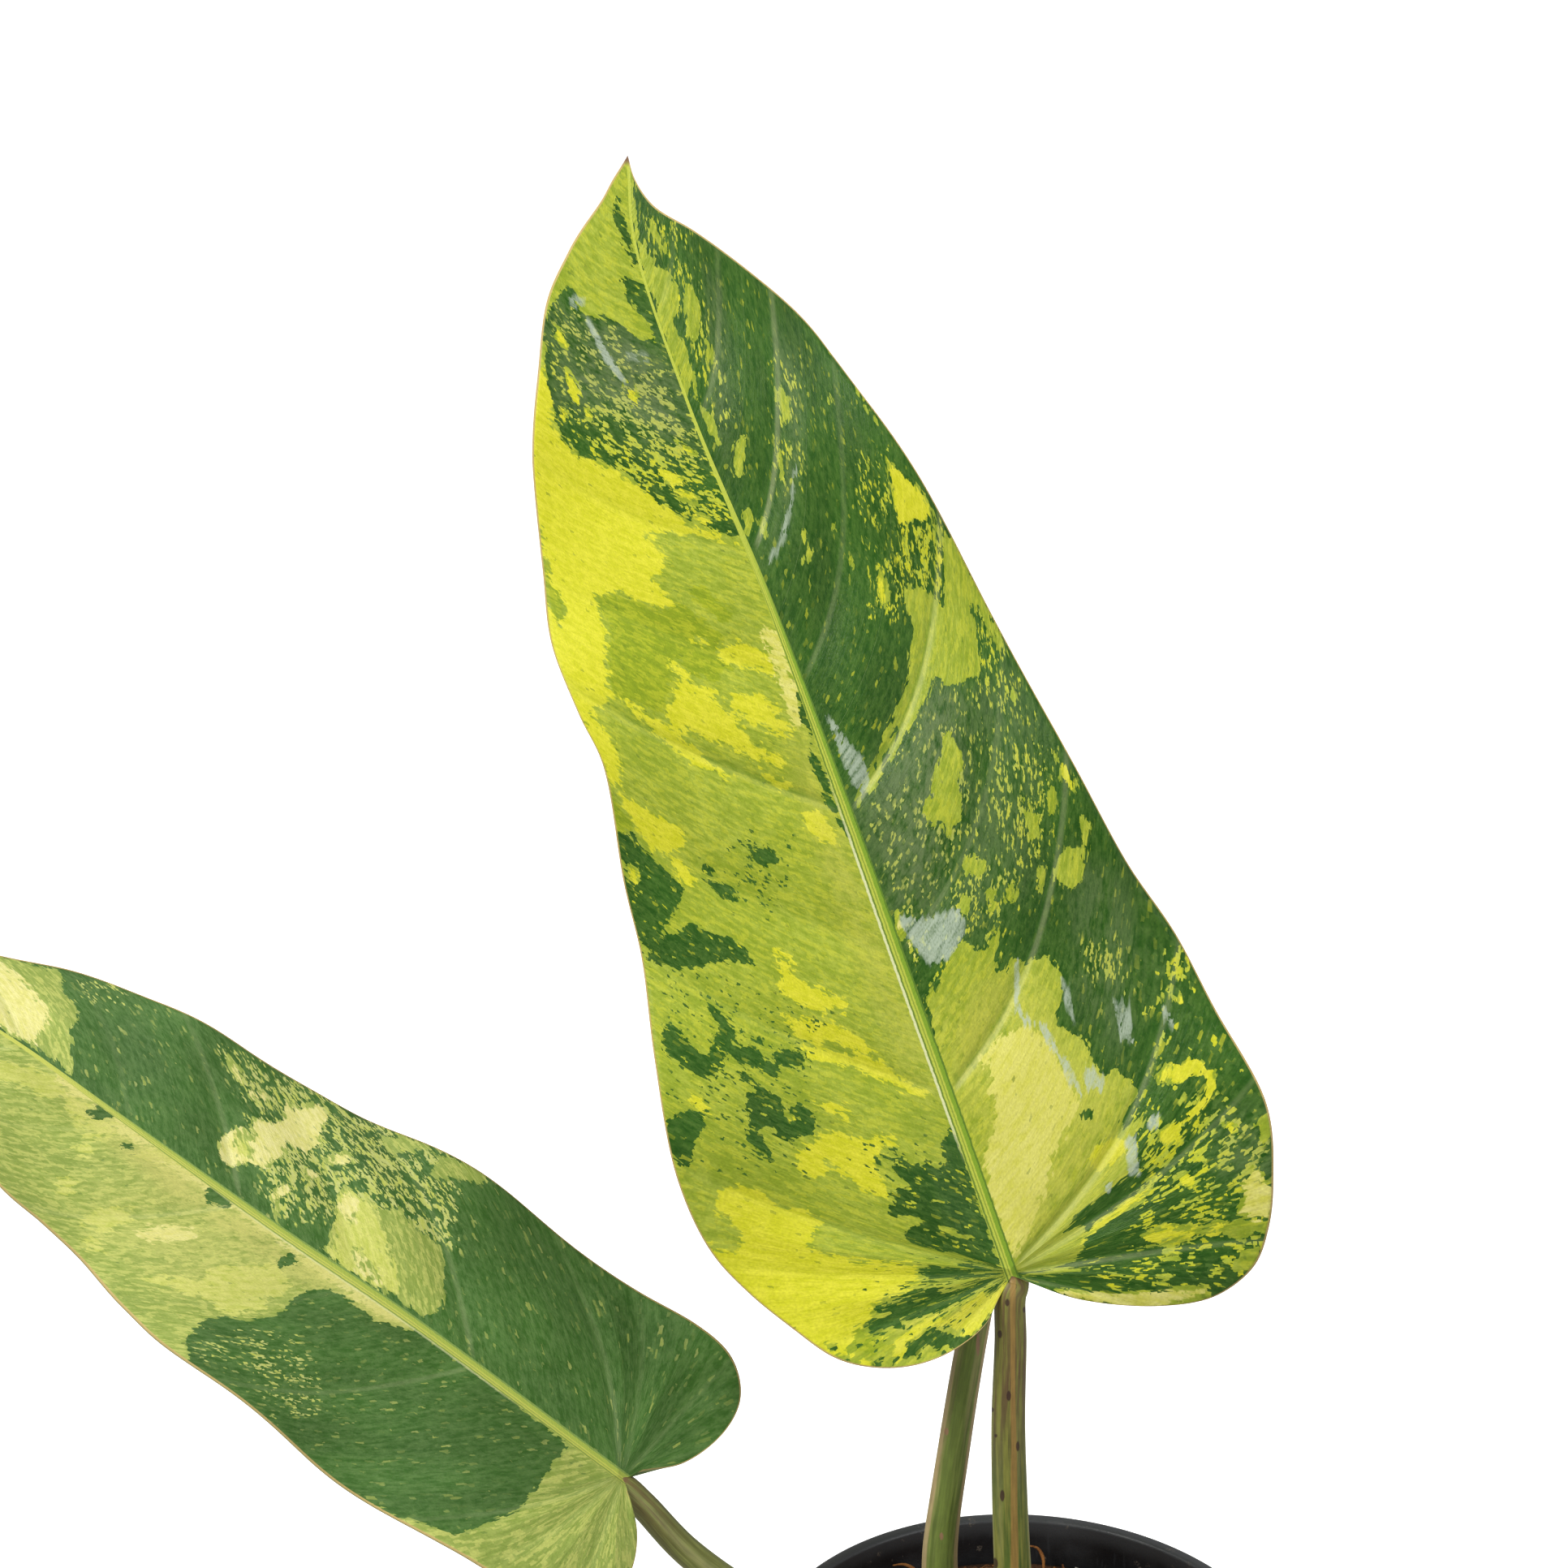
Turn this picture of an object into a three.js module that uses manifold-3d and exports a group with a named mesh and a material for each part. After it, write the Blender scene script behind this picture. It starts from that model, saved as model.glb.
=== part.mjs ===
// A potted philodendron with three long variegated blades on tall stalks. They grow from one
// short stem in a black nursery pot, filled with a loose mix of husk chips and fibre.
// Millimetres, +Z up. The origin is the centre of the pot's flat underside, and the largest
// blade faces -Y.
import * as THREE from 'three';
import { mergeVertices } from 'three/addons/utils/BufferGeometryUtils.js';
import Module from 'manifold-3d';

const wasm = await Module();
wasm.setup();

// Clearance between two pieces that touch.
const GAP = 0.3;

// Nursery pot: a tapered cup with a thicker band and a rolled lip at its rim.
const POT = {
  height: 118.5,
  rimRadius: 69.5,
  bandHeight: 12,
  bandInset: 1.3,
  bandStep: 2.6,
  lipHeight: 3.2,
  lipWidth: 4,
  lipRound: 1.5,
  taperEnd: 3,
  wall: 1.8,
  floor: 2.4,
  floorRound: 2.5,
  footRadius: 48,
  footRound: 1.5,
  sides: 48,
};
const DRAIN = {
  holes: 4, radius: 4, circle: 24, sides: 12, slots: 8, slotWidth: 9, slotHeight: 5, slotDepth: 11,
};

// Potting mix: its level, its surface relief, and the bits that lie on it. Its top keeps flat
// along the wall. The bits keep clear of the rim and the stem, and sink in part of their height.
const MIX = {
  level: 105.5,
  rings: 6,
  sides: 36,
  footHeight: 3,
  relief: 0.9,
  flatEdge: 1,
  wallGap: 0.36,
  rimClearance: 12,
  stemClearance: 18,
  bitRise: 0.2,
  seed: 7,
};
const BITS = [
  { count: 50, length: [5, 12], width: [2.5, 6], thickness: [1.4, 2.8], tilt: 0.42 },
  { count: 14, length: [16, 30], width: [1.3, 2], thickness: [1.2, 1.8], tilt: 0.16 },
  { count: 10, length: [3, 5], width: [3, 4.5], thickness: [2.6, 4], tilt: 1.2 },
];

// Short upright stem. Its rings are the old leaf scars, and its bud stands on top.
const STEM = {
  x: -12.6,
  y: 5,
  radius: 8.4,
  buried: 72,
  footTaper: 9,
  rings: [109, 114.5, 120],
  ringRise: 0.7,
  ringBelow: 1.6,
  ringAbove: 1.2,
  shoulder: 124.5,
  budRadius: 3.2,
  budNeck: 5,
  budPoint: 7,
  budTip: 0.5,
  budTop: 141.5,
  sides: 18,
};
const AERIAL_ROOTS = [
  { azimuth: 288, height: 111.5, reach: 21, radius: 1.9 },
  { azimuth: 28, height: 113, reach: 24, radius: 1.6 },
  { azimuth: 95, height: 110.5, reach: 19, radius: 2 },
  { azimuth: 165, height: 109.5, reach: 22, radius: 1.5 },
];
const ROOT = { overlap: 3, leave: 4, rise: 0.6, land: 3, sink: 6, taper: 0.3, sides: 6, steps: 7 };

// Blade outlines as [distance along the midrib from the stalk, distance out from it]. They
// run from the notch beside the stalk, round the basal lobe and up the margin to the tip.
const BROAD_RIGHT = [
  [-3.4, 2.5], [-12.5, 13.8], [-20.4, 32.2], [-22.5, 46], [-18.4, 56.7], [-9.5, 63.2], [2, 67.8],
  [20, 71.9], [45, 68.3], [65, 65.6], [86, 59.9], [113, 55.5], [152, 50], [190, 45],
  [212, 40.5], [236, 34.5], [253, 26.1], [271, 14.1], [280, 5.3], [287, 1.3], [292.6, 0],
];
const BROAD_LEFT = [
  [-4.1, 3.8], [-10.1, 9.9], [-13, 18.5], [-13.2, 29.2], [-10.4, 38.8], [-4.8, 47.4],
  [5.6, 55.2], [17.7, 62.6], [30.4, 67.6], [50, 69], [80, 64.2], [103, 59.4], [122, 57.3],
  [151, 52], [165, 53.2], [186, 53.3], [204, 48.5], [231, 39.4], [247, 31.9], [262, 24.4],
  [271, 16.6], [281, 7.4], [287, 3.8], [292.6, 0],
];
const NARROW_RIGHT = [
  [-4, 3], [-12, 12], [-17, 26], [-16, 38], [-9, 45.5], [4, 49], [22, 49.5], [48, 48],
  [76, 46.1], [94, 45.1], [118, 42.7], [143, 37.3], [168, 33.2], [189.5, 29], [208, 20.7],
  [225, 13], [243, 6.5], [258, 2.4], [269.8, 0],
];
const NARROW_LEFT = [
  [-4, 3.4], [-11, 10], [-15, 22], [-14, 33], [-7, 42], [6, 49], [26, 52], [54, 52.1],
  [90, 52.6], [112, 51.2], [125, 47.2], [140, 41.6], [152, 40.3], [164, 40.6], [184, 36],
  [206, 25.5], [228, 15], [250, 5], [269.8, 0],
];

// Each blade: where its stalk ends, where its midrib aims, which way its upper face looks,
// and the midrib's course as [along, to the right, towards the face] from that point.
const VIEW_TILT = THREE.MathUtils.degToRad(20);
const BLADES = {
  leaf_front: {
    joint: [-6.9, 0, 233],
    aim: [0, Math.sin(VIEW_TILT), Math.cos(VIEW_TILT)],
    face: [0, -Math.cos(VIEW_TILT), Math.sin(VIEW_TILT)],
    midrib: [
      [0, 0, 0], [38.5, -13.6, 1.5], [78.1, -27.8, 2.4], [115.5, -41.1, 2.6],
      [167.1, -60.2, 1.4], [213.3, -79.2, -1], [254.2, -92.7, -3.6], [275.9, -94.5, -5],
    ],
    right: BROAD_RIGHT,
    left: BROAD_LEFT,
    scale: [1, 1],
    fold: 0.13,
    wave: { height: 3.4, length: 92, right: 0.6, left: 3.4 },
  },
  leaf_left: {
    joint: [-104.6, 4, 172],
    aim: [-221, 53, 147],
    face: [0.43, -0.421, 0.799],
    midrib: [
      [0, 0, 0], [66.4, 0.2, 2], [107.5, -1.1, 2.5], [155.4, -0.7, 2.4], [193.7, 1.1, 0.2],
      [230, 0.5, -5], [268, -3, -14],
    ],
    right: NARROW_RIGHT,
    left: NARROW_LEFT,
    scale: [1, 1],
    fold: 0.1,
    wave: { height: 3, length: 84, right: 2.2, left: 0.4 },
  },
  leaf_back: {
    joint: [1, 58, 248],
    aim: [-46, 226, -4],
    face: [-0.1, -0.25, 1],
    midrib: [
      [0, 0, 0], [34, -3, 17], [80, -5, 30], [130, -3, 33], [180, 1, 20], [222, 4, -4],
    ],
    right: BROAD_LEFT,
    left: BROAD_RIGHT,
    scale: [0.83, 0.74],
    fold: 0.2,
    wave: { height: 3.6, length: 78, right: 1.4, left: 4.1 },
  },
};
const BLADE = {
  thickness: 0.8,
  rows: 28,
  fanRows: 11,
  columns: [0, 0.045, 0.11, 0.28, 0.5, 0.75, 1],
  marginSamples: 600,
  veinLean: 1.3,
  veinBend: 1.25,
  creaseRadius: 3,
  ridgeHeight: 2.2,
  ridgeWidth: 2.6,
  ridgeOnset: 3,
  ridgeSlimming: 0.7,
  ridgeSinking: 0.9,
  waveFade: 5,
};

// Leaf stalks, from inside the stem up to the blade, as points and [height share, radius].
const STALK = { sides: 10, steps: 22, overrun: 2.6, behindBlade: 1.2 };
const STALKS = {
  petiole_front: {
    blade: 'leaf_front',
    points: [
      [-10.1, 3.6, 114], [-5.4, 0.8, 119], [-3.4, -0.2, 127], [-3.6, 0, 136], [-4.1, 0, 147],
      [-5.2, 0, 166], [-6.2, 0, 190], [-6.2, 0.2, 213], [-6.5, 0.6, 226],
    ],
    radii: [[0, 6], [0.1, 5.3], [0.32, 4.7], [0.9, 3.9], [0.97, 4.1], [1, 3]],
  },
  petiole_back: {
    blade: 'leaf_back',
    points: [
      [-14.6, 7.5, 119], [-18.6, 11.5, 124.5], [-21.4, 14.5, 133], [-21.8, 16, 141.5],
      [-18.2, 22, 170], [-13.9, 28.5, 197], [-8.6, 38, 221], [-3, 48.5, 239],
    ],
    radii: [[0, 5.6], [0.1, 4.9], [0.25, 4.3], [0.9, 3.6], [0.97, 3.7], [1, 2.7]],
  },
  petiole_left: {
    blade: 'leaf_left',
    points: [
      [-15.6, 3.4, 112], [-21.6, 0.4, 115], [-33.6, -1.6, 120.5], [-51.6, -1, 127.5],
      [-70.6, 1, 137], [-87.6, 3, 150], [-98.6, 4, 163],
    ],
    radii: [[0, 5.6], [0.12, 5], [0.3, 4.4], [0.9, 3.6], [0.97, 3.8], [1, 2.8]],
  },
};

const COLORS = {
  pot: { color: 0x17181a, roughness: 0.42, metalness: 0 },
  mix: { color: 0x4a3021, roughness: 0.95, metalness: 0 },
  stem: { color: 0x6d7a3c, roughness: 0.6, metalness: 0 },
  stalk: { color: 0x7d8a45, roughness: 0.5, metalness: 0 },
  leaf_front: { color: 0x8fb03a, roughness: 0.38, metalness: 0 },
  leaf_left: { color: 0x7da449, roughness: 0.4, metalness: 0 },
  leaf_back: { color: 0x5f8f3c, roughness: 0.4, metalness: 0 },
};

const vector = (xyz) => new THREE.Vector3(...xyz);
const curveThrough = (points) => new THREE.CatmullRomCurve3(points);

// Small seeded generator, so that the mix is the same on each build.
function seededRandom(seed) {
  let state = seed;
  return () => {
    state = (state * 1664525 + 1013904223) % 4294967296;
    return state / 4294967296;
  };
}

// Turns a closed geometry into a solid that can be joined and cut, with its faces outwards.
function toSolid(geometry) {
  const bare = new THREE.BufferGeometry();
  bare.setAttribute('position', geometry.getAttribute('position').clone());
  bare.setIndex(geometry.getIndex());
  const merged = mergeVertices(bare, 1e-4);
  const positions = merged.getAttribute('position').array;
  const index = merged.getIndex().array;
  const corner = (i) => new THREE.Vector3().fromArray(positions, 3 * i);
  const triangles = [];
  let volume = 0;
  for (let i = 0; i < index.length; i += 3) {
    const [a, b, c] = index.slice(i, i + 3);
    if (a !== b && b !== c && c !== a) {
      triangles.push([a, b, c]);
      volume += corner(a).dot(corner(b).cross(corner(c)));
    }
  }
  const ordered = volume < 0 ? triangles.map(([a, b, c]) => [a, c, b]) : triangles;
  return new wasm.Manifold(new wasm.Mesh({
    numProp: 3,
    vertProperties: Float32Array.from(positions),
    triVerts: Uint32Array.from(ordered.flat()),
  }));
}

// Gives a solid's largest body back as a geometry. Loose crumbs of a cut are dropped.
function toGeometry(solid) {
  const bodies = solid.decompose();
  bodies.sort((one, other) => other.volume() - one.volume());
  const mesh = bodies[0].getMesh();
  const geometry = new THREE.BufferGeometry();
  geometry.setAttribute('position', new THREE.BufferAttribute(Float32Array.from(mesh.vertProperties), 3));
  geometry.setIndex([...mesh.triVerts]);
  geometry.computeVertexNormals();
  return geometry;
}

// A closed turned body about +Z from [radius, height] points that start and end on the axis.
function turned(profile, sides) {
  const points = profile.map(([radius, height]) => new THREE.Vector2(radius, height));
  return new THREE.LatheGeometry(points, sides).rotateX(Math.PI / 2);
}

// Radius at share t of a stalk, between the listed [share, radius] pairs.
function radiusAt(radii, t) {
  const next = Math.max(1, radii.findIndex(([share]) => share >= t));
  const [from, start] = radii[next - 1];
  const [to, end] = radii[next];
  return THREE.MathUtils.lerp(start, end, (t - from) / (to - from));
}

// A tapered round bar along a curve: a straight extruded prism, bent and scaled to the curve.
function taperedBar(curve, radius, sides, steps) {
  const ring = Array.from({ length: sides }, (_, i) => {
    const turn = (2 * Math.PI * i) / sides;
    return new THREE.Vector2(Math.cos(turn), Math.sin(turn));
  });
  const prism = new THREE.ExtrudeGeometry(new THREE.Shape(ring), { depth: 1, steps, bevelEnabled: false });
  const place = prism.getAttribute('position');
  const reference = new THREE.Vector3(0.2, -1, 0.1).normalize();
  for (let i = 0; i < place.count; i += 1) {
    const t = THREE.MathUtils.clamp(place.getZ(i), 0, 1);
    const along = curve.getTangentAt(t);
    const across = new THREE.Vector3().crossVectors(along, reference).normalize();
    const outward = new THREE.Vector3().crossVectors(across, along);
    const point = curve.getPointAt(t)
      .addScaledVector(across, place.getX(i) * radius(t))
      .addScaledVector(outward, place.getY(i) * radius(t));
    place.setXYZ(i, point.x, point.y, point.z);
  }
  return prism;
}

// The pot's band and wall: where the band starts, its radius, and the wall's outer radius there.
const BAND_LOW = POT.height - POT.bandHeight;
const BAND_RADIUS = POT.rimRadius - POT.bandInset;
const WALL_TOP = BAND_RADIUS - POT.bandStep;
const INNER_FOOT = POT.footRadius - POT.wall;

// Radius of the pot's tapered inner wall at a height.
function innerWallAt(z) {
  const low = POT.floor + POT.floorRound;
  const slope = (WALL_TOP - POT.wall - INNER_FOOT) / (BAND_LOW - POT.taperEnd - low);
  return INNER_FOOT + slope * (z - low);
}

// Pot: outer wall, band, lip, inner wall and floor in one turned body, then its drain cuts.
function potSolid() {
  const top = POT.height;
  const rim = POT.rimRadius;
  const innerRim = rim - POT.lipWidth;
  const foot = [[0, 0], [POT.footRadius - POT.footRound, 0], [POT.footRadius, POT.footRound]];
  const band = [
    [WALL_TOP, BAND_LOW - 1.5], [BAND_RADIUS - 0.8, BAND_LOW], [BAND_RADIUS - 0.4, BAND_LOW + 1],
    [BAND_RADIUS, top - POT.lipHeight - 0.8],
  ];
  const lip = [
    [rim - 0.4, top - POT.lipHeight], [rim, top - 2], [rim - 0.5, top - 0.6], [rim - POT.lipRound, top],
    [innerRim + 1, top], [innerRim + 0.2, top - 0.7], [innerRim, top - 2],
  ];
  const inside = [
    [WALL_TOP - POT.wall, BAND_LOW - POT.taperEnd], [INNER_FOOT, POT.floor + POT.floorRound],
    [INNER_FOOT - 2, POT.floor], [0, POT.floor],
  ];
  let pot = toSolid(turned([...foot, ...band, ...lip, ...inside], POT.sides));
  for (let i = 0; i < DRAIN.holes; i += 1) {
    const turn = (2 * Math.PI * (i + 0.5)) / DRAIN.holes;
    const hole = new THREE.CylinderGeometry(DRAIN.radius, DRAIN.radius, 4 * POT.floor, DRAIN.sides)
      .rotateX(Math.PI / 2)
      .translate(DRAIN.circle * Math.cos(turn), DRAIN.circle * Math.sin(turn), 0);
    pot = pot.subtract(toSolid(hole));
  }
  for (let i = 0; i < DRAIN.slots; i += 1) {
    const slot = new THREE.BoxGeometry(DRAIN.slotDepth, DRAIN.slotWidth, 2 * DRAIN.slotHeight)
      .translate(POT.footRadius, 0, 0)
      .rotateZ((2 * Math.PI * i) / DRAIN.slots);
    pot = pot.subtract(toSolid(slot));
  }
  return pot;
}

// Stem: a turned body with a ring at each old leaf scar, a shoulder and a pointed bud.
function stemCore(clearance) {
  const radius = STEM.radius;
  const scars = STEM.rings.flatMap((z) => [
    [radius, z - STEM.ringBelow], [radius + STEM.ringRise, z], [radius - 0.2, z + STEM.ringAbove],
  ]);
  const profile = [
    [0, STEM.buried], [radius * 0.55, STEM.buried], [radius * 0.9, STEM.buried + STEM.footTaper], ...scars,
    [radius * 0.92, STEM.shoulder - 2], [STEM.budRadius * 1.5, STEM.shoulder + 1],
    [STEM.budRadius, STEM.shoulder + STEM.budNeck], [STEM.budRadius * 0.72, STEM.budTop - STEM.budPoint],
    [STEM.budTip, STEM.budTop], [0, STEM.budTop],
  ];
  const grown = profile.map(([r, z], i) => {
    const onAxis = r === 0;
    const capShift = i === 0 || i === 1 ? -clearance : 0;
    const tipShift = i >= profile.length - 2 ? clearance : 0;
    return [onAxis ? 0 : r + clearance, z + capShift + tipShift];
  });
  return toSolid(turned(grown, STEM.sides).translate(STEM.x, STEM.y, 0));
}

function aerialRoot({ azimuth, height, reach, radius }, clearance) {
  const turn = THREE.MathUtils.degToRad(azimuth);
  const at = (r, z) => new THREE.Vector3(STEM.x + r * Math.cos(turn), STEM.y + r * Math.sin(turn), z);
  const curve = curveThrough([
    at(STEM.radius - ROOT.overlap, height), at(STEM.radius + ROOT.leave, height + ROOT.rise),
    at(reach - ROOT.land, MIX.level + ROOT.land), at(reach, MIX.level - ROOT.sink - clearance),
  ]);
  const taper = (t) => radius * (1 - ROOT.taper * t) + clearance;
  return toSolid(taperedBar(curve, taper, ROOT.sides, ROOT.steps));
}

function stemSolid(clearance) {
  return AERIAL_ROOTS.reduce((stem, root) => stem.add(aerialRoot(root, clearance)), stemCore(clearance));
}

// Surface relief of the mix, in mm about its level.
function mixRelief(x, y) {
  const swell = Math.sin(x / 6.1 + 1.3) * Math.cos(y / 5.3);
  const grain = Math.sin(x / 2.9 - y / 3.7 + 0.4);
  return MIX.relief * (0.7 * swell + 0.5 * grain);
}

// One chip, fibre or lump: a small block at a random place, with part of its thickness sunk in.
function mixBit(kind, random) {
  const between = ([low, high]) => low + (high - low) * random();
  const size = [between(kind.length), between(kind.width), between(kind.thickness)];
  const reach = POT.rimRadius - MIX.rimClearance - size[0] / 2;
  const distance = MIX.stemClearance + (reach - MIX.stemClearance) * Math.sqrt(random());
  const turn = 2 * Math.PI * random();
  const x = distance * Math.cos(turn);
  const y = distance * Math.sin(turn);
  const block = new THREE.BoxGeometry(...size)
    .rotateX(kind.tilt * (random() - 0.5))
    .rotateY(kind.tilt * (random() - 0.5))
    .rotateZ(2 * Math.PI * random());
  return block.translate(x, y, MIX.level + mixRelief(x, y) + MIX.bitRise * size[2]);
}

// Potting mix: fills the pot's inside up to its level, with bits fused to its surface and a
// plain hole for the stem and each aerial root.
function mixSolid() {
  const low = POT.floor + GAP;
  const shoulder = low + MIX.footHeight;
  const edge = innerWallAt(MIX.level) - MIX.wallGap;
  const top = Array.from({ length: MIX.rings }, (_, i) => [edge * (1 - i / MIX.rings), MIX.level]);
  const plug = turned([
    [0, low], [INNER_FOOT - POT.floorRound, low], [innerWallAt(shoulder) - MIX.wallGap, shoulder],
    ...top, [0, MIX.level],
  ], MIX.sides);
  const place = plug.getAttribute('position');
  for (let i = 0; i < place.count; i += 1) {
    const onTop = place.getZ(i) > MIX.level - GAP;
    const inside = Math.hypot(place.getX(i), place.getY(i)) < edge - MIX.flatEdge;
    if (onTop && inside) {
      place.setZ(i, MIX.level + mixRelief(place.getX(i), place.getY(i)));
    }
  }
  const random = seededRandom(MIX.seed);
  let mix = toSolid(plug);
  for (const kind of BITS) {
    for (let i = 0; i < kind.count; i += 1) {
      mix = mix.add(toSolid(mixBit(kind, random)));
    }
  }
  return mix.subtract(stemSolid(GAP));
}

// A blade's own directions: along its midrib, towards its right margin, out of its face.
function bladeFrame(blade) {
  const along = vector(blade.aim).normalize();
  const faceHint = vector(blade.face);
  const face = faceHint.addScaledVector(along, -faceHint.dot(along)).normalize();
  const right = new THREE.Vector3().crossVectors(along, face);
  return { along, right, face };
}

function midribCurve(blade) {
  const { along, right, face } = bladeFrame(blade);
  return curveThrough(blade.midrib.map(([a, r, f]) => vector(blade.joint)
    .addScaledVector(along, a)
    .addScaledVector(right, r)
    .addScaledVector(face, f)));
}

// Local directions at a distance along the midrib. Behind the stalk they go straight on.
function midribStation(curve, length, face, distance) {
  const share = THREE.MathUtils.clamp(distance / length, 0, 1);
  const tangent = curve.getTangentAt(share);
  const normal = face.clone().addScaledVector(tangent, -face.dot(tangent)).normalize();
  const right = new THREE.Vector3().crossVectors(tangent, normal);
  const point = curve.getPointAt(share).addScaledVector(tangent, Math.min(distance, 0));
  return { point, normal, right };
}

// Rows of one half blade, each with the vein's start on the midrib and its end on the
// margin. The first rows fan out from the stalk round the lobe, and the later ones start
// along the midrib and lean forward.
function veinRows(outline, [stretch, widen], length) {
  const margin = curveThrough(outline.map(([a, b]) => new THREE.Vector3(a * stretch, b * widen, 0)));
  const samples = margin.getSpacedPoints(BLADE.marginSamples);
  const startOf = ({ x, y }) => x - BLADE.veinLean * y;
  const firstForward = samples.findIndex((point) => startOf(point) > 0);
  const reach = samples[samples.length - 1].x;
  const rows = [];
  for (let i = 0; i <= BLADE.rows; i += 1) {
    let sample;
    let start = 0;
    if (i <= BLADE.fanRows) {
      sample = samples[Math.round((firstForward * i) / BLADE.fanRows)];
    } else {
      start = (reach * (i - BLADE.fanRows)) / (BLADE.rows - BLADE.fanRows);
      sample = samples.find((point) => startOf(point) >= start - 1e-6) ?? samples[samples.length - 1];
    }
    rows.push({ start: (start * length) / reach, end: [(sample.x * length) / reach, sample.y] });
  }
  return rows;
}

// Height of the blade's mid-surface over its midrib: a smooth V fold that rises to both
// margins, and a wave that grows with the square of the share of the way to the margin.
function bladeLift(blade, side, a, b, edge, length) {
  const fold = blade.fold * (Math.hypot(b, BLADE.creaseRadius) - BLADE.creaseRadius);
  const phase = side > 0 ? blade.wave.right : blade.wave.left;
  const fade = 1 - Math.max(a / length, 0) ** BLADE.waveFade;
  const ripple = Math.sin((2 * Math.PI * a) / blade.wave.length + phase);
  return fold + blade.wave.height * fade * edge ** 2 * ripple;
}

// Height of the midrib's ridge under the blade.
function ridgeHeight(a, b, length) {
  const share = THREE.MathUtils.clamp(a / length, 0, 1);
  const onset = THREE.MathUtils.smoothstep(a, -BLADE.ridgeOnset, BLADE.ridgeOnset);
  const width = BLADE.ridgeWidth * (1 - BLADE.ridgeSlimming * share);
  return onset * BLADE.ridgeHeight * (1 - BLADE.ridgeSinking * share) * Math.exp(-((b / width) ** 2));
}

// A blade as one thin closed body: both faces share the same grid of rows and columns and
// the same diagonals, and a narrow strip closes its margin and its notch.
function bladeSolid(blade) {
  const curve = midribCurve(blade);
  const length = curve.getLength();
  const { face } = bladeFrame(blade);
  const positions = [];
  const triangles = [];
  const addQuad = (p, q, r, s, flip) => {
    triangles.push(...(flip ? [p, r, q, p, s, r] : [p, q, r, p, r, s]));
  };
  for (const side of [1, -1]) {
    const rows = veinRows(side > 0 ? blade.right : blade.left, blade.scale, length);
    const columns = BLADE.columns.length;
    const first = positions.length / 3;
    for (const { start, end } of rows) {
      for (const edge of BLADE.columns) {
        const a = start + (end[0] - start) * edge ** BLADE.veinBend;
        const b = end[1] * edge;
        const station = midribStation(curve, length, face, a);
        const lift = bladeLift(blade, side, a, b, edge, length);
        const middle = station.point.addScaledVector(station.right, side * b);
        const top = middle.clone().addScaledVector(station.normal, lift + BLADE.thickness / 2);
        const under = lift - BLADE.thickness / 2 - ridgeHeight(a, b, length);
        const bottom = middle.clone().addScaledVector(station.normal, under);
        positions.push(...top.toArray(), ...bottom.toArray());
      }
    }
    const topAt = (row, column) => first + 2 * (row * columns + column);
    const bottomAt = (row, column) => topAt(row, column) + 1;
    for (let i = 0; i < BLADE.rows; i += 1) {
      for (let j = 0; j < columns - 1; j += 1) {
        addQuad(topAt(i, j), topAt(i, j + 1), topAt(i + 1, j + 1), topAt(i + 1, j), side < 0);
        addQuad(bottomAt(i, j), bottomAt(i, j + 1), bottomAt(i + 1, j + 1), bottomAt(i + 1, j), side > 0);
      }
      const last = columns - 1;
      addQuad(topAt(i, last), bottomAt(i, last), bottomAt(i + 1, last), topAt(i + 1, last), side < 0);
    }
    for (let j = 0; j < columns - 1; j += 1) {
      addQuad(topAt(0, j), bottomAt(0, j), bottomAt(0, j + 1), topAt(0, j + 1), side < 0);
    }
  }
  const geometry = new THREE.BufferGeometry();
  geometry.setAttribute('position', new THREE.Float32BufferAttribute(positions, 3));
  geometry.setIndex(triangles);
  return toSolid(geometry);
}

// A stalk ends a little past the blade's joint, just behind the blade's face.
function stalkCurve(stalk) {
  const blade = BLADES[stalk.blade];
  const curve = midribCurve(blade);
  const station = midribStation(curve, curve.getLength(), bladeFrame(blade).face, 0);
  const end = station.point
    .addScaledVector(curve.getTangentAt(0), STALK.overrun)
    .addScaledVector(station.normal, -STALK.behindBlade);
  return curveThrough([...stalk.points.map(vector), end]);
}

function stalkSolid(stalk, clearance) {
  const radius = (t) => radiusAt(stalk.radii, t) + clearance;
  return toSolid(taperedBar(stalkCurve(stalk), radius, STALK.sides, STALK.steps));
}

function piece(name, solid, finish) {
  const mesh = new THREE.Mesh(toGeometry(solid), new THREE.MeshStandardMaterial(finish));
  mesh.name = name;
  return mesh;
}

const plant = new THREE.Group();
plant.add(piece('pot', potSolid(), COLORS.pot));
plant.add(piece('potting_mix', mixSolid(), COLORS.mix));
plant.add(piece('stem', stemSolid(0), COLORS.stem));

const stemRoom = stemSolid(GAP);
for (const [name, stalk] of Object.entries(STALKS)) {
  plant.add(piece(name, stalkSolid(stalk, 0).subtract(stemRoom), COLORS.stalk));
  const blade = bladeSolid(BLADES[stalk.blade]).subtract(stalkSolid(stalk, GAP));
  plant.add(piece(stalk.blade, blade, COLORS[stalk.blade]));
}

export default plant;
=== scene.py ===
"""Looks of a potted variegated philodendron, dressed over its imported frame.

Three long blades on tall stalks rise from one short stem in a black nursery pot. The frame is
in metres with +Z up and its origin under the pot. Shapes are worked out here in millimetres
and turned into metres when their meshes are made.
"""

import logging
import math
from collections.abc import Sequence
from dataclasses import dataclass
from enum import Enum
from functools import reduce

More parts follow.
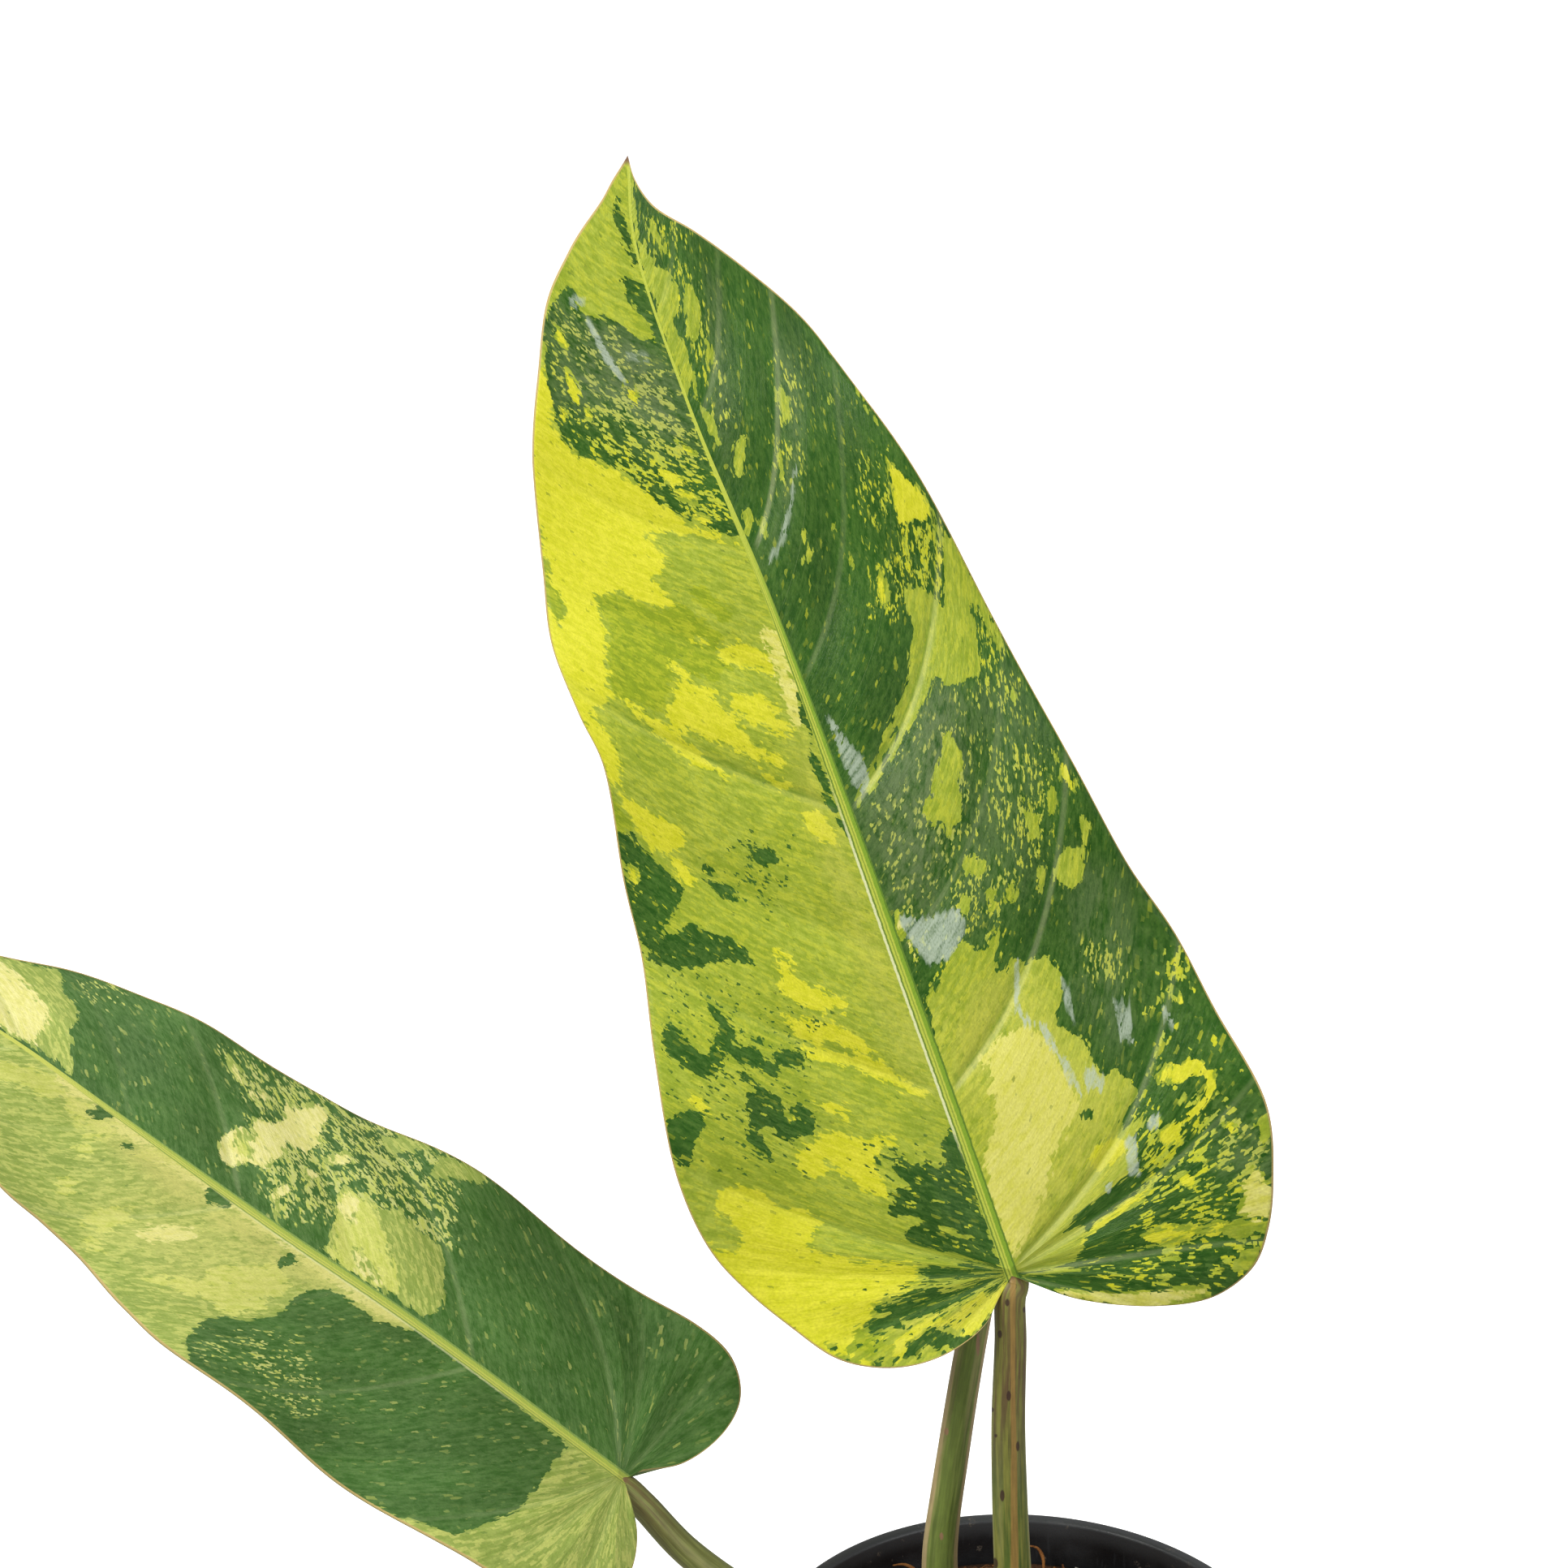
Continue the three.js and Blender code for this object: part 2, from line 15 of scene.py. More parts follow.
import bpy
import numpy as np
from mathutils import Euler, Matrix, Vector


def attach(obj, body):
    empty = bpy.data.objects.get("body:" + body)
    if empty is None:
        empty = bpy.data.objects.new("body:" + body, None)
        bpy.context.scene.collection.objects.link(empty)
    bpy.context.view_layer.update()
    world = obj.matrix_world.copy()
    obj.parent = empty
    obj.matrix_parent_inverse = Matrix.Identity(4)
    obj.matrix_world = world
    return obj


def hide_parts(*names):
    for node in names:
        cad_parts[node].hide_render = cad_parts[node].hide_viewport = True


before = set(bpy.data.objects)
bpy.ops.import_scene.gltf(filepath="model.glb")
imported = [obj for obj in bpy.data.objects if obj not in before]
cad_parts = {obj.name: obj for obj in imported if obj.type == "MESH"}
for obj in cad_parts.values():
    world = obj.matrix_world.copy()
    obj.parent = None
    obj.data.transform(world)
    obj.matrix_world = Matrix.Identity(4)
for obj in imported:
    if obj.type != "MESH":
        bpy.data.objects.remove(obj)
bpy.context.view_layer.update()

LOG = logging.getLogger("philodendron")
MM = 0.001  # metres in a millimetre
TINY = 1e-9  # keeps a divisor off zero
FAR = 20.0  # millimetres past which a tone's signed distance is cut off
WAVE_COUNT = 7  # cosines in a random relief
RING_SIDE = np.array([0.2, -1.0, 0.1])  # fixed side that a bar's rings are turned to

Array = np.ndarray
Mesh = bpy.types.Mesh
Object = bpy.types.Object
Material = bpy.types.Material
Socket = bpy.types.NodeSocket
Outline = list[tuple[float, float]]
Rows = Sequence[Sequence]


# Small helpers for colours and vectors


def paint(code: str) -> tuple[float, float, float, float]:
    """Turns an sRGB colour code into the linear colour that a shader takes.

    A channel c becomes ((c + 0.055) / 1.055) to the power 2.4.

    Args:
        code: six hexadecimal digits after a hash sign.

    Returns:
        Linear red, green, blue and an alpha of one.
    """
    channels = [int(code[i:i + 2], 16) / 255 for i in (1, 3, 5)]
    linear = [((c + 0.055) / 1.055) ** 2.4 if c > 0.04 else c / 12.92 for c in channels]
    return (*linear, 1.0)


def unit(vectors: Array) -> Array:
    """Returns the vectors scaled to a length of one along their last axis."""
    return vectors / np.maximum(np.linalg.norm(vectors, axis=-1, keepdims=True), TINY)


def smoothstep(values: Array, low: float, high: float) -> Array:
    """Rises from 0 at low to 1 at high as 3t^2 - 2t^3.

    Args:
        values: where to work it out.
        low: the value that gives 0.
        high: the value that gives 1.

    Returns:
        Shares from 0 to 1.
    """
    t = np.clip((np.asarray(values, float) - low) / (high - low), 0, 1)
    return t * t * (3 - 2 * t)


def waves(points: Array, length: float, seed: int) -> Array:
    """Smooth random relief: a sum of seeded cosines in random directions.

    Args:
        points: places, with coordinates on the last axis.
        length: the wave length that the cosines are spread around.
        seed: picks the directions and phases.

    Returns:
        Values of about -1 to 1.
    """
    random = np.random.default_rng(seed)
    turns = unit(random.normal(size=(WAVE_COUNT, points.shape[-1])))
    lengths = length * random.uniform(0.6, 1.6, WAVE_COUNT)
    phases = random.uniform(0, math.tau, WAVE_COUNT)
    angles = math.tau * (points @ turns.T) / lengths + phases
    return np.cos(angles).sum(-1) / math.sqrt(2 * WAVE_COUNT)


def show(name: str, data: bpy.types.ID) -> Object:
    """Makes an object and links it to the scene.

    Args:
        name: the object's name.
        data: its mesh, lamp or lens.

    Returns:
        The new object.
    """
    thing = bpy.data.objects.new(name, data)
    bpy.context.scene.collection.objects.link(thing)
    return thing


@dataclass(frozen=True)
class ViewPoint:
    """Where the square picture is taken from.

    The direction of a point is split into its parts along the view, to the right and up. Its
    pixel is the picture's centre plus the focal length times right (or minus up) over depth.
    The position and the sensor are in millimetres, the pitch in degrees down, the focal length
    and the size in pixels, and the clip end in metres.
    """

    position: tuple[float, float, float] = (-62.6, -688.0, 611.0)
    pitch: float = 20.0
    focal: float = 3874.0
    size: int = 1932
    sensor: float = 36.0
    clip_end: float = 50.0

    def pixels(self, points: Array) -> Array:
        """Gives the picture's pixel of each point.

        Args:
            points: places in millimetres, with x, y and z on the last axis.

        Returns:
            Pixel x and y on the last axis.
        """
        tilt = math.radians(self.pitch)
        forward = np.array([0, math.cos(tilt), -math.sin(tilt)])
        upward = np.array([0, math.sin(tilt), math.cos(tilt)])
        offset = points - np.array(self.position)
        depth = offset @ forward
        centre = self.size / 2
        return np.stack([centre + self.focal * offset[..., 0] / depth,
                         centre - self.focal * (offset @ upward) / depth], -1)

    def camera(self) -> None:
        """Makes the scene's camera at this view point."""
        lens = bpy.data.cameras.new("view_camera")
        lens.sensor_width = self.sensor
        lens.lens = self.focal / self.size * self.sensor
        lens.clip_end = self.clip_end
        camera = show("view_camera", lens)
        camera.location = [MM * c for c in self.position]
        camera.rotation_euler = (math.radians(90 - self.pitch), 0, 0)
        bpy.context.scene.camera = camera


VIEW = ViewPoint()


# Curves, grids and welded meshes


class SmoothCurve:
    """A centripetal Catmull-Rom curve through points, measured by its own length."""

    def __init__(self, points: Array, per_span: int = 60) -> None:
        """Samples the curve finely.

        Each span is a cubic in the share t of the way. Its rates of change at the ends come
        from the neighbouring points, weighted by the square roots of the distances.

        Args:
            points: places that the curve passes, one a row.
            per_span: samples between two of them.
        """
        places = np.asarray(points, float)
        ends = np.vstack([2 * places[0] - places[1], places, 2 * places[-1] - places[-2]])
        strides = np.diff(ends, axis=0)
        gaps = np.maximum(np.linalg.norm(strides, axis=1, keepdims=True) ** 0.5, TINY)
        slopes = strides / gaps
        rates = slopes[:-1] + slopes[1:] - (ends[2:] - ends[:-2]) / (gaps[:-1] + gaps[1:])
        run, leave, arrive = strides[1:-1], rates[:-1] * gaps[1:-1], rates[1:] * gaps[1:-1]
        t = np.linspace(0, 1, per_span, endpoint=False)[:, None, None]
        square, cube = 3 * run - 2 * leave - arrive, leave + arrive - 2 * run
        spans = places[:-1] + leave * t + square * t ** 2 + cube * t ** 3
        self.samples = np.vstack([*spans.swapaxes(0, 1), places[-1:]])
        steps = np.linalg.norm(np.diff(self.samples, axis=0), axis=1)
        self.distances = np.concatenate([[0], np.cumsum(steps)])
        self.length = float(self.distances[-1])
        self.tangents = unit(np.gradient(self.samples, self.distances, axis=0))

    def _read(self, table: Array, distances: Array) -> Array:
        """Reads a table of the samples at distances along the curve."""
        return np.stack([np.interp(distances, self.distances, column) for column in table.T], -1)

    def point(self, distances: Array) -> Array:
        """Gives the places at distances along the curve."""
        return self._read(self.samples, distances)

    def tangent(self, distances: Array) -> Array:
        """Gives the directions at distances along the curve, each of length one."""
        return unit(self._read(self.tangents, distances))


class Shell:
    """Grids of points in millimetres that are welded into one closed mesh."""

    WELD = 1e-4  # millimetres within which points are one

    def __init__(self) -> None:
        """Starts with no grids."""
        self.points: list[Array] = []
        self.faces: list[Array] = []
        self.charts: list[Array] = []
        self.fields: dict[str, list[Array]] = {}
        self.count = 0

    def add_grid(self, points: Array, chart: Array | None = None,
                 fields: dict[str, Array] | None = None, flip: bool = False) -> None:
        """Adds a grid of rows and columns, two triangles to each of its cells.

        Args:
            points: places, shaped rows, columns, 3.
            chart: surface coordinates of each point, shaped rows, columns, 2.
            fields: named values for each point, the same names in all grids of a shell.
            flip: turns the faces over.
        """
        rows, columns = points.shape[:2]
        index = np.arange(rows * columns).reshape(rows, columns) + self.count
        corners = [index[:-1, :-1], index[:-1, 1:], index[1:, 1:], index[1:, :-1]]
        cells = np.stack(corners, -1).reshape(-1, 4)
        faces = np.vstack([cells[:, [0, 1, 2]], cells[:, [0, 2, 3]]])
        self.faces.append(faces[:, ::-1] if flip else faces)
        self.points.append(points.reshape(-1, 3))
        blank = np.zeros((rows, columns, 2)) if chart is None else chart
        self.charts.append(blank.reshape(-1, 2))
        for name, values in (fields or {}).items():
            whole = np.broadcast_to(values, (rows, columns)).reshape(-1)
            self.fields.setdefault(name, []).append(whole)
        self.count += rows * columns

    def mesh(self, name: str) -> Mesh:
        """Welds points that coincide and makes the mesh, in metres, with its faces outwards.

        Args:
            name: the mesh's name.

        Returns:
            A smooth-shaded mesh with a UV map named chart and one attribute for each field.
        """
        points = np.vstack(self.points)
        faces = np.vstack(self.faces)
        keys = np.round(points / self.WELD).astype(np.int64)
        _, first, welded = np.unique(keys, axis=0, return_index=True, return_inverse=True)
        joined = welded.reshape(-1)[faces]
        sound = (joined != np.roll(joined, -1, axis=1)).all(1)
        joined, faces = joined[sound], faces[sound]
        places = points[first]
        a, b, c = (places[joined[:, k]] for k in range(3))
        if np.einsum("ij,ij->", a, np.cross(b, c)) < 0:
            joined, faces = joined[:, ::-1], faces[:, ::-1]
        mesh = bpy.data.meshes.new(name)
        mesh.vertices.add(len(first))
        mesh.vertices.foreach_set("co", (places * MM).astype(np.float32).ravel())
        mesh.loops.add(joined.size)
        mesh.loops.foreach_set("vertex_index", joined.astype(np.int32).ravel())
        mesh.polygons.add(len(joined))
        mesh.polygons.foreach_set("loop_start", np.arange(0, joined.size, 3, dtype=np.int32))
        mesh.polygons.foreach_set("use_smooth", np.ones(len(joined), bool))
        mesh.update(calc_edges=True)
        chart = mesh.uv_layers.new(name="chart")
        chart.data.foreach_set("uv", np.vstack(self.charts)[faces.ravel()].astype(np.float32).ravel())
        for key, parts in self.fields.items():
            attribute = mesh.attributes.new(key, "FLOAT", "POINT")
            attribute.data.foreach_set("value", np.concatenate(parts)[first].astype(np.float32))
        mesh.validate()
        return mesh


def place(mesh: Mesh, material: Material, slot: str, *nodes: str) -> None:
    """Puts a mesh in the scene as a piece of the plant.

    Args:
        mesh: the finished mesh, in place.
        material: its finish.
        slot: the record's material slot; not used.
        nodes: the frame's nodes that the piece stands for.
    """
    mesh.materials.append(material)
    piece = show(mesh.name, mesh)
    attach(piece, "root")
    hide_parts(*nodes)
    LOG.info("%s: %d triangles", piece.name, len(mesh.polygons))


def circle(sides: int) -> tuple[Array, Array]:
    """Gives the cosines and sines of even turns, which end where they start.

    Args:
        sides: how many turns there are.

    Returns:
        Two rows of sides + 1 numbers.
    """
    turns = np.linspace(0, math.tau, sides + 1)
    turns[-1] = 0
    return np.cos(turns), np.sin(turns)


def ring_grid(curve: SmoothCurve, radii: Array, sides: int, steps: int) -> tuple[Array, Array, Array]:
    """Works out a round bar along a curve, closed to a point at both ends.

    A ring point is the curve's point plus the radius times cos(turn) across and sin(turn)
    outward. Across is the tangent crossed with one fixed side, so the rings don't twist.

    Args:
        curve: the bar's middle line.
        radii: rows of share of the length and radius.
        sides: how many points a ring has.
        steps: how many rings the bar has.

    Returns:
        The points, the middle line's point of each, and the distances round and along.
    """
    share = np.linspace(0, 1, steps)
    radius = np.concatenate([[0], np.interp(share, radii[:, 0], radii[:, 1]), [0]])
    distances = np.concatenate([[0], share, [1]]) * curve.length
    along = curve.tangent(distances)
    across = unit(np.cross(along, RING_SIDE))
    outward = np.cross(across, along)
    cosines, sines = circle(sides)
    axis = np.repeat(curve.point(distances)[:, None], sides + 1, axis=1)
    spokes = cosines[:, None] * across[:, None] + sines[:, None] * outward[:, None]
    points = axis + radius[:, None, None] * spokes
    around = np.linspace(0, math.tau * float(radii[:, 1].mean()), sides + 1)
    chart = np.stack(np.broadcast_arrays(around[None], distances[:, None]), -1)
    return points, axis, chart


def turned_grid(profile: Array, sides: int, centre: tuple[float, float] = (0, 0)) -> Array:
    """Works out a turned surface about an upright axis.

    A profile point (r, z) becomes (r cos(turn), r sin(turn), z) about the centre.

    Args:
        profile: rows of radius and height, from the bottom out, up and back to the axis.
        sides: how many points a ring has.
        centre: where the axis stands.

    Returns:
        Points, shaped rows, sides + 1, 3.
    """
    cosines, sines = circle(sides)
    radius = profile[:, :1]
    height = np.broadcast_to(profile[:, 1:], (len(profile), sides + 1))
    x, y = centre
    return np.stack([x + radius * cosines, y + radius * sines, height], -1)


def turning(roll: float, pitch: float, spin: float) -> Array:
    """Gives the matrix that turns about X, then Y, then Z by these angles in radians."""
    return np.array(Euler((roll, pitch, spin)).to_matrix())


def arc(centre: tuple[float, float], radius: float, start: float, end: float,
        steps: int) -> list[list[float]]:
    """Lists points of a circular arc in a profile.

    Args:
        centre: radius and height of the arc's centre.
        radius: the arc's own radius.
        start: first angle in degrees, 0 pointing outwards and 90 up.
        end: last angle in degrees.
        steps: how many points it has.

    Returns:
        Pairs of radius and height.
    """
    angles = np.radians(np.linspace(start, end, steps))
    return [[centre[0] + radius * math.cos(a), centre[1] + radius * math.sin(a)] for a in angles]


# Finishes


class Graph:
    """A material's node tree, with short calls for the nodes that the finishes use."""

    def __init__(self, name: str) -> None:
        """Makes a material with one Principled shader.

        Args:
            name: the material's name.
        """
        self.material = bpy.data.materials.new(name)
        self.material.use_nodes = True
        self.tree = self.material.node_tree
        self.tree.nodes.clear()
        self.shader = self.tree.nodes.new("ShaderNodeBsdfPrincipled")
        output = self.tree.nodes.new("ShaderNodeOutputMaterial")
        self.tree.links.new(self.shader.outputs[0], output.inputs[0])

    def node(self, kind: str, inputs: dict, **settings: object) -> bpy.types.Node:
        """Adds a node.

        Args:
            kind: its type, without the common prefix.
            inputs: values or sockets for its inputs, by name or number.
            settings: its own properties.

        Returns:
            The new node.
        """
        node = self.tree.nodes.new("ShaderNode" + kind)
        for key, value in settings.items():
            setattr(node, key, value)
        for key, value in inputs.items():
            self.feed(node.inputs[key], value)
        return node

    def feed(self, socket: Socket, value: object) -> None:
        """Links a socket to an input, or sets the input's own value.

        Args:
            socket: the input.
            value: a socket, a value, or a colour code, which is painted.
        """
        if isinstance(value, Socket):
            self.tree.links.new(value, socket)
        else:
            socket.default_value = paint(value) if isinstance(value, str) else value

    def set(self, **values: object) -> None:
        """Feeds the shader's inputs. An underscore in a name stands for a space."""
        for key, value in values.items():
            self.feed(self.shader.inputs[key.replace("_", " ")], value)

    def math(self, operation: str, first: object, second: object = 0.0) -> Socket:
        """Works out one sum of two numbers."""
        return self.node("Math", {0: first, 1: second}, operation=operation).outputs[0]

    def add(self, *terms: object) -> Socket:
        """Adds up several numbers."""
        return reduce(lambda total, term: self.math("ADD", total, term), terms)

    def times(self, *factors: object) -> Socket:
        """Multiplies several numbers."""
        return reduce(lambda product, factor: self.math("MULTIPLY", product, factor), factors)

    def less(self, first: object, second: object) -> Socket:
        """Subtracts the second number from the first."""
        return self.math("SUBTRACT", first, second)

    def swing(self, value: object, size: float) -> Socket:
        """Turns 0 to 1 into minus to plus half a size."""
        return self.times(self.less(value, 0.5), size)

    def near(self, value: object, centre: float, far: float, close: float) -> Socket:
        """Gives 1 close to a centre, falling to 0 at the far distance."""
        return self.step(self.math("ABSOLUTE", self.less(value, centre)), far, close)

    def step(self, value: object, low: float, high: float) -> Socket:
        """Rises smoothly from 0 at low to 1 at high. With low above high it falls.

        Args:
            value: where to work it out.
            low: the value that gives 0.
            high: the value that gives 1.

        Returns:
            A share from 0 to 1.
        """
        ends = (low, high, 0.0, 1.0) if low < high else (high, low, 1.0, 0.0)
        inputs = dict(enumerate((value, *ends)))
        return self.node("MapRange", inputs, interpolation_type="SMOOTHSTEP").outputs[0]

    def spread(self, value: object, low: object, high: object) -> Socket:
        """Maps 0 to 1 on to low to high."""
        return self.node("MapRange", {"Value": value, "To Min": low, "To Max": high}).outputs[0]

    def attribute(self, name: str) -> Socket:
        """Reads a value of the mesh by its name."""
        return self.node("Attribute", {}, attribute_name=name).outputs["Fac"]

    def cell(self, where: Socket, sizes: Sequence[float], shift: Sequence[float] = (0, 0, 0)) -> Socket:
        """Divides coordinates in metres by a cell's sizes in millimetres, and shifts by cells."""
        inputs = {0: where, "Location": shift, "Scale": [1 / (size * MM) for size in sizes]}
        return self.node("Mapping", inputs).outputs[0]

    def chart(self, sizes: tuple[float, float], shift: tuple[float, float] = (0, 0)) -> Socket:
        """Gives cells of the mesh's own surface coordinates, across and along."""
        return self.cell(self.node("UVMap", {}, uv_map="chart").outputs[0], (*sizes, 1.0), (*shift, 0))

    def solid(self, *sizes: float) -> Socket:
        """Gives cells of the Object coordinates, of one size or of three."""
        return self.cell(self.node("TexCoord", {}).outputs["Object"], (sizes * 3)[:3])

    def noise(self, vector: Socket, detail: float = 2.0, roughness: float = 0.5) -> Socket:
        """Gives soft noise of about 0.2 to 0.8, one swell to a cell."""
        inputs = {"Vector": vector, "Scale": 1.0, "Detail": detail, "Roughness": roughness}
        return self.node("TexNoise", inputs).outputs["Fac"]

    def cells(self, vector: Socket, kind: str = "CHEBYCHEV") -> Socket:
        """Gives each irregular cell one random number from 0 to 1."""
        node = self.node("TexVoronoi", {0: vector, "Scale": 1.0, "Randomness": 0.9}, distance=kind)
        return self.node("SeparateColor", {0: node.outputs["Color"]}).outputs[0]

    def blend(self, share: object, under: object, over: object) -> Socket:
        """Lays one colour over another by a share from 0 to 1."""
        return self.node("Mix", {0: share, 6: under, 7: over}, data_type="RGBA").outputs[2]

    def shade(self, colour: object, factor: object) -> Socket:
        """Multiplies a colour's brightness by a number."""
        return self.node("VectorMath", {0: colour, "Scale": factor}, operation="SCALE").outputs[0]

    def bump(self, height: Socket, depth: float) -> Socket:
        """Bends the normal by a height from 0 to 1 that stands for depth in millimetres."""
        return self.node("Bump", {"Height": height, "Distance": depth * MM, "Strength": 1.0}).outputs[0]


class Tone(Enum):
    """The tissues of a variegated blade. Lime is what shows where no other is laid."""

    OLIVE = "olive"
    YELLOW = "yellow"
    CREAM = "cream"
    DEEP = "deep"
    LIME = "lime"


class TissueGraph(Graph):
    """A blade's node tree, with the patterns that its tissues share, from coarse to fine."""

    def __init__(self, name: str) -> None:
        """Makes the patterns on the blade's chart.

        Args:
            name: the material's name.
        """
        super().__init__(name)
        self.cloud = self.noise(self.chart((14.0, 30.0), (1.0, 9.0)), 2.0)
        self.drift = self.noise(self.chart((7.0, 18.0)), 3.0)
        self.clumps = self.noise(self.chart((2.6, 4.5), (5.0, 1.0)), 2.0)
        self.mottle = self.noise(self.chart((1.2, 2.6), (2.0, 4.0)), 3.0, 0.6)
        self.streaks = self.noise(self.chart((1.0, 8.0), (6.0, 2.0)), 2.0)
        self.lines = self.noise(self.chart((0.32, 14.0), (8.0, 6.0)), 2.0)
        self.sand = self.noise(self.chart((0.42, 0.5)), 1.0)
        self.blocks = self.cells(self.chart((1.2, 3.0)))
        self.chips = self.cells(self.chart((0.6, 1.5), (3.3, 7.1)))
        self.dots = self.cells(self.chart((0.5, 0.95), (11.7, 2.9)))
        mixed = self.add(self.times(self.mottle, 0.6), self.times(self.streaks, 0.4))
        self.tint = self.step(mixed, 0.38, 0.62)
        # A patchy noise that breaks up the washes, the painted sheen, and the water marks with their
        # painted reflections
        self.worn = self.times(self.add(self.mottle, self.drift), 0.5)


@dataclass(frozen=True)
class LeafFinish:
    """Satin blade tissue in jagged patches that follow the veins.

    The mesh holds a signed distance in millimetres for each tone. A random step for each
    small cell, long along the veins, is added to it before it is cut at zero. That gives the
    patches their ragged edge. Cells are also flipped at random where flecks are dense. A tone
    has two colours, which its grain mixes. Some marks are painted light: sheen and shade along
    the veins, a highlight along the midrib, a greyish sheen on the deep tissue and reflections
    among the water marks.
    """

    name: str
    deep: tuple[str, str]
    olive: tuple[str, str]
    lime: tuple[str, str]
    yellow: tuple[str, str]
    cream: tuple[str, str]
    fleck: str = "#b4c242"
    ghost: str = "#6f8f40"
    # Greyish painted sheen over the deep tissue, and over its flecks
    painted_sheen: str = "#6f8154"
    painted_sheen_fleck: str = "#a6b065"
    # Whitish water-mark residue with painted reflections of the lights
    residue_and_reflection: str = "#b9c7b2"
    edge: str = "#c9b070"
    rib_light: str = "#c2cc4c"
    # Painted highlight: sheen on a vein's base side and along the midrib's left edge
    rib_highlight: str = "#e6e9b4"
    rib_green: str = "#6f9a26"
    # Dark midrib lines, and painted shade on a vein's tip side and in its furrow
    rib_dark: str = "#376a20"
    under: str = "#a9b878"
    tip: str = "#7d5f48"
    gleam: float = 0.25

    def material(self) -> Material:
        """Builds the material: tissues, veins, water marks with painted reflections, painted sheen, margin,
        tip and underside.

        Returns:
            The finished material.
        """
        g = TissueGraph(self.name)
        dark = self._dark(g)
        speck = g.times(g.attribute("speck"), g.step(g.clumps, 0.36, 0.66))
        colour = g.blend(g.step(g.less(speck, g.dots), -0.02, 0.02), self._pale(g), dark)
        jag = g.add(g.swing(g.blocks, 1.3), g.swing(g.chips, 0.6), g.swing(g.drift, 2.4))
        deep_share = g.step(g.add(g.attribute(Tone.DEEP.value), jag), -0.08, 0.08)
        colour = g.blend(deep_share, colour, self._flecked(g, dark))
        colour = g.shade(colour, g.times(g.spread(g.lines, 0.94, 1.05), g.spread(g.sand, 0.78, 1.2)))
        colour = self._veined(g, colour)
        # Crisp zones of whitish water-mark residue and painted reflections
        residue_and_reflection = g.attribute("residue_and_reflection")
        worn = g.add(residue_and_reflection, g.swing(g.blocks, 0.45), g.swing(g.chips, 0.35))
        residue_and_reflection = g.times(g.step(worn, 0.27, 0.37), g.step(residue_and_reflection, 0.05, 0.7))
        thin = g.step(g.add(g.times(g.sand, 0.35), g.times(g.streaks, 0.65)), 0.22, 0.6)
        under = g.attribute("under")
        for share, code in ((g.times(residue_and_reflection, thin, 0.8), self.residue_and_reflection),
                            (g.step(g.attribute("inset"), 0.5, 0.25), self.edge),
                            (g.attribute("tip"), self.tip), (g.times(under, 0.45), self.under)):
            colour = g.blend(share, colour, code)
        relief = g.add(g.times(g.add(g.lines, g.sand), 0.5), g.times(g.mottle, 0.4), g.times(g.chips, 0.1))
        roughness = g.add(g.spread(g.drift, 0.34, 0.52), g.times(residue_and_reflection, 0.12), g.times(under, 0.12))
        g.set(Base_Color=colour, Roughness=roughness, Normal=g.bump(relief, 0.2), Specular_IOR_Level=0.22)
        return g.material

    def _pale(self, g: TissueGraph) -> Socket:
        """Lays olive, yellow and cream over the lime tissue, with pale streaks and washes.

        Args:
            g: the blade's graph.

        Returns:
            The colour of all tissue but the deep one.
        """
        soft = g.add(g.swing(g.blocks, 1.6), g.swing(g.chips, 1.2), g.swing(g.drift, 4.0),
                     g.swing(g.mottle, 2.5))
        colour = g.blend(g.tint, *self.lime)
        colour = g.blend(g.times(g.step(g.cloud, 0.42, 0.62), 0.4), colour, self.olive[0])
        gleam = g.step(g.add(g.times(g.streaks, 0.7), g.times(g.chips, 0.3)), 0.5, 0.6)
        for tone in (Tone.OLIVE, Tone.YELLOW, Tone.CREAM):
            if tone is Tone.YELLOW:
                colour = g.blend(g.times(gleam, self.gleam), colour, self.yellow[1])
            share = g.step(g.add(g.attribute(tone.value), soft), -0.3, 0.3)
            colour = g.blend(share, colour, g.blend(g.tint, *getattr(self, tone.value)))
        return g.blend(g.times(g.attribute("wash"), g.step(g.worn, 0.3, 0.6)), colour, self.cream[0])

    def _dark(self, g: TissueGraph) -> Socket:
        """Mixes the deep tissue, with faint ghosts of flecks and a greyish painted sheen.

        Args:
            g: the blade's graph.

        Returns:
            The colour of the deep tissue.
        """
        dark = g.shade(g.blend(g.tint, *self.deep), g.spread(g.step(g.cloud, 0.3, 0.7), 0.84, 1.12))
        ghosts = g.step(g.less(g.times(g.step(g.clumps, 0.3, 0.7), 0.55), g.dots), -0.2, 0.1)
        dark = g.blend(g.times(ghosts, g.spread(g.attribute("fleck"), 0.14, 0.8)), dark, self.ghost)
        # Painted sheen: the deep tissue greys in its zones
        return g.blend(g.times(g.attribute("painted_sheen"), g.step(g.worn, 0.36, 0.6)), dark, self.painted_sheen)

    def _flecked(self, g: TissueGraph, dark: Socket) -> Socket:
        """Scatters pale flecks over the deep tissue: small ones and, where dense, broad ones.

        Args:
            g: the blade's graph.
            dark: the deep tissue.

        Returns:
            The deep tissue with its flecks.
        """
        fleck = g.attribute("fleck")
        chance = g.times(fleck, g.step(g.clumps, 0.38, 0.6))
        small = g.step(g.less(g.times(chance, 0.92), g.dots), -0.02, 0.05)
        broad = g.step(g.less(g.times(chance, fleck, 1.6), g.chips), -0.05, 0.05)
        # Flecks in the zones of painted sheen take its greyish colour
        pale = g.blend(g.attribute("painted_sheen"), g.blend(g.tint, self.fleck, self.yellow[0]), self.painted_sheen_fleck)
        return g.blend(g.math("MAXIMUM", small, broad), dark, pale)

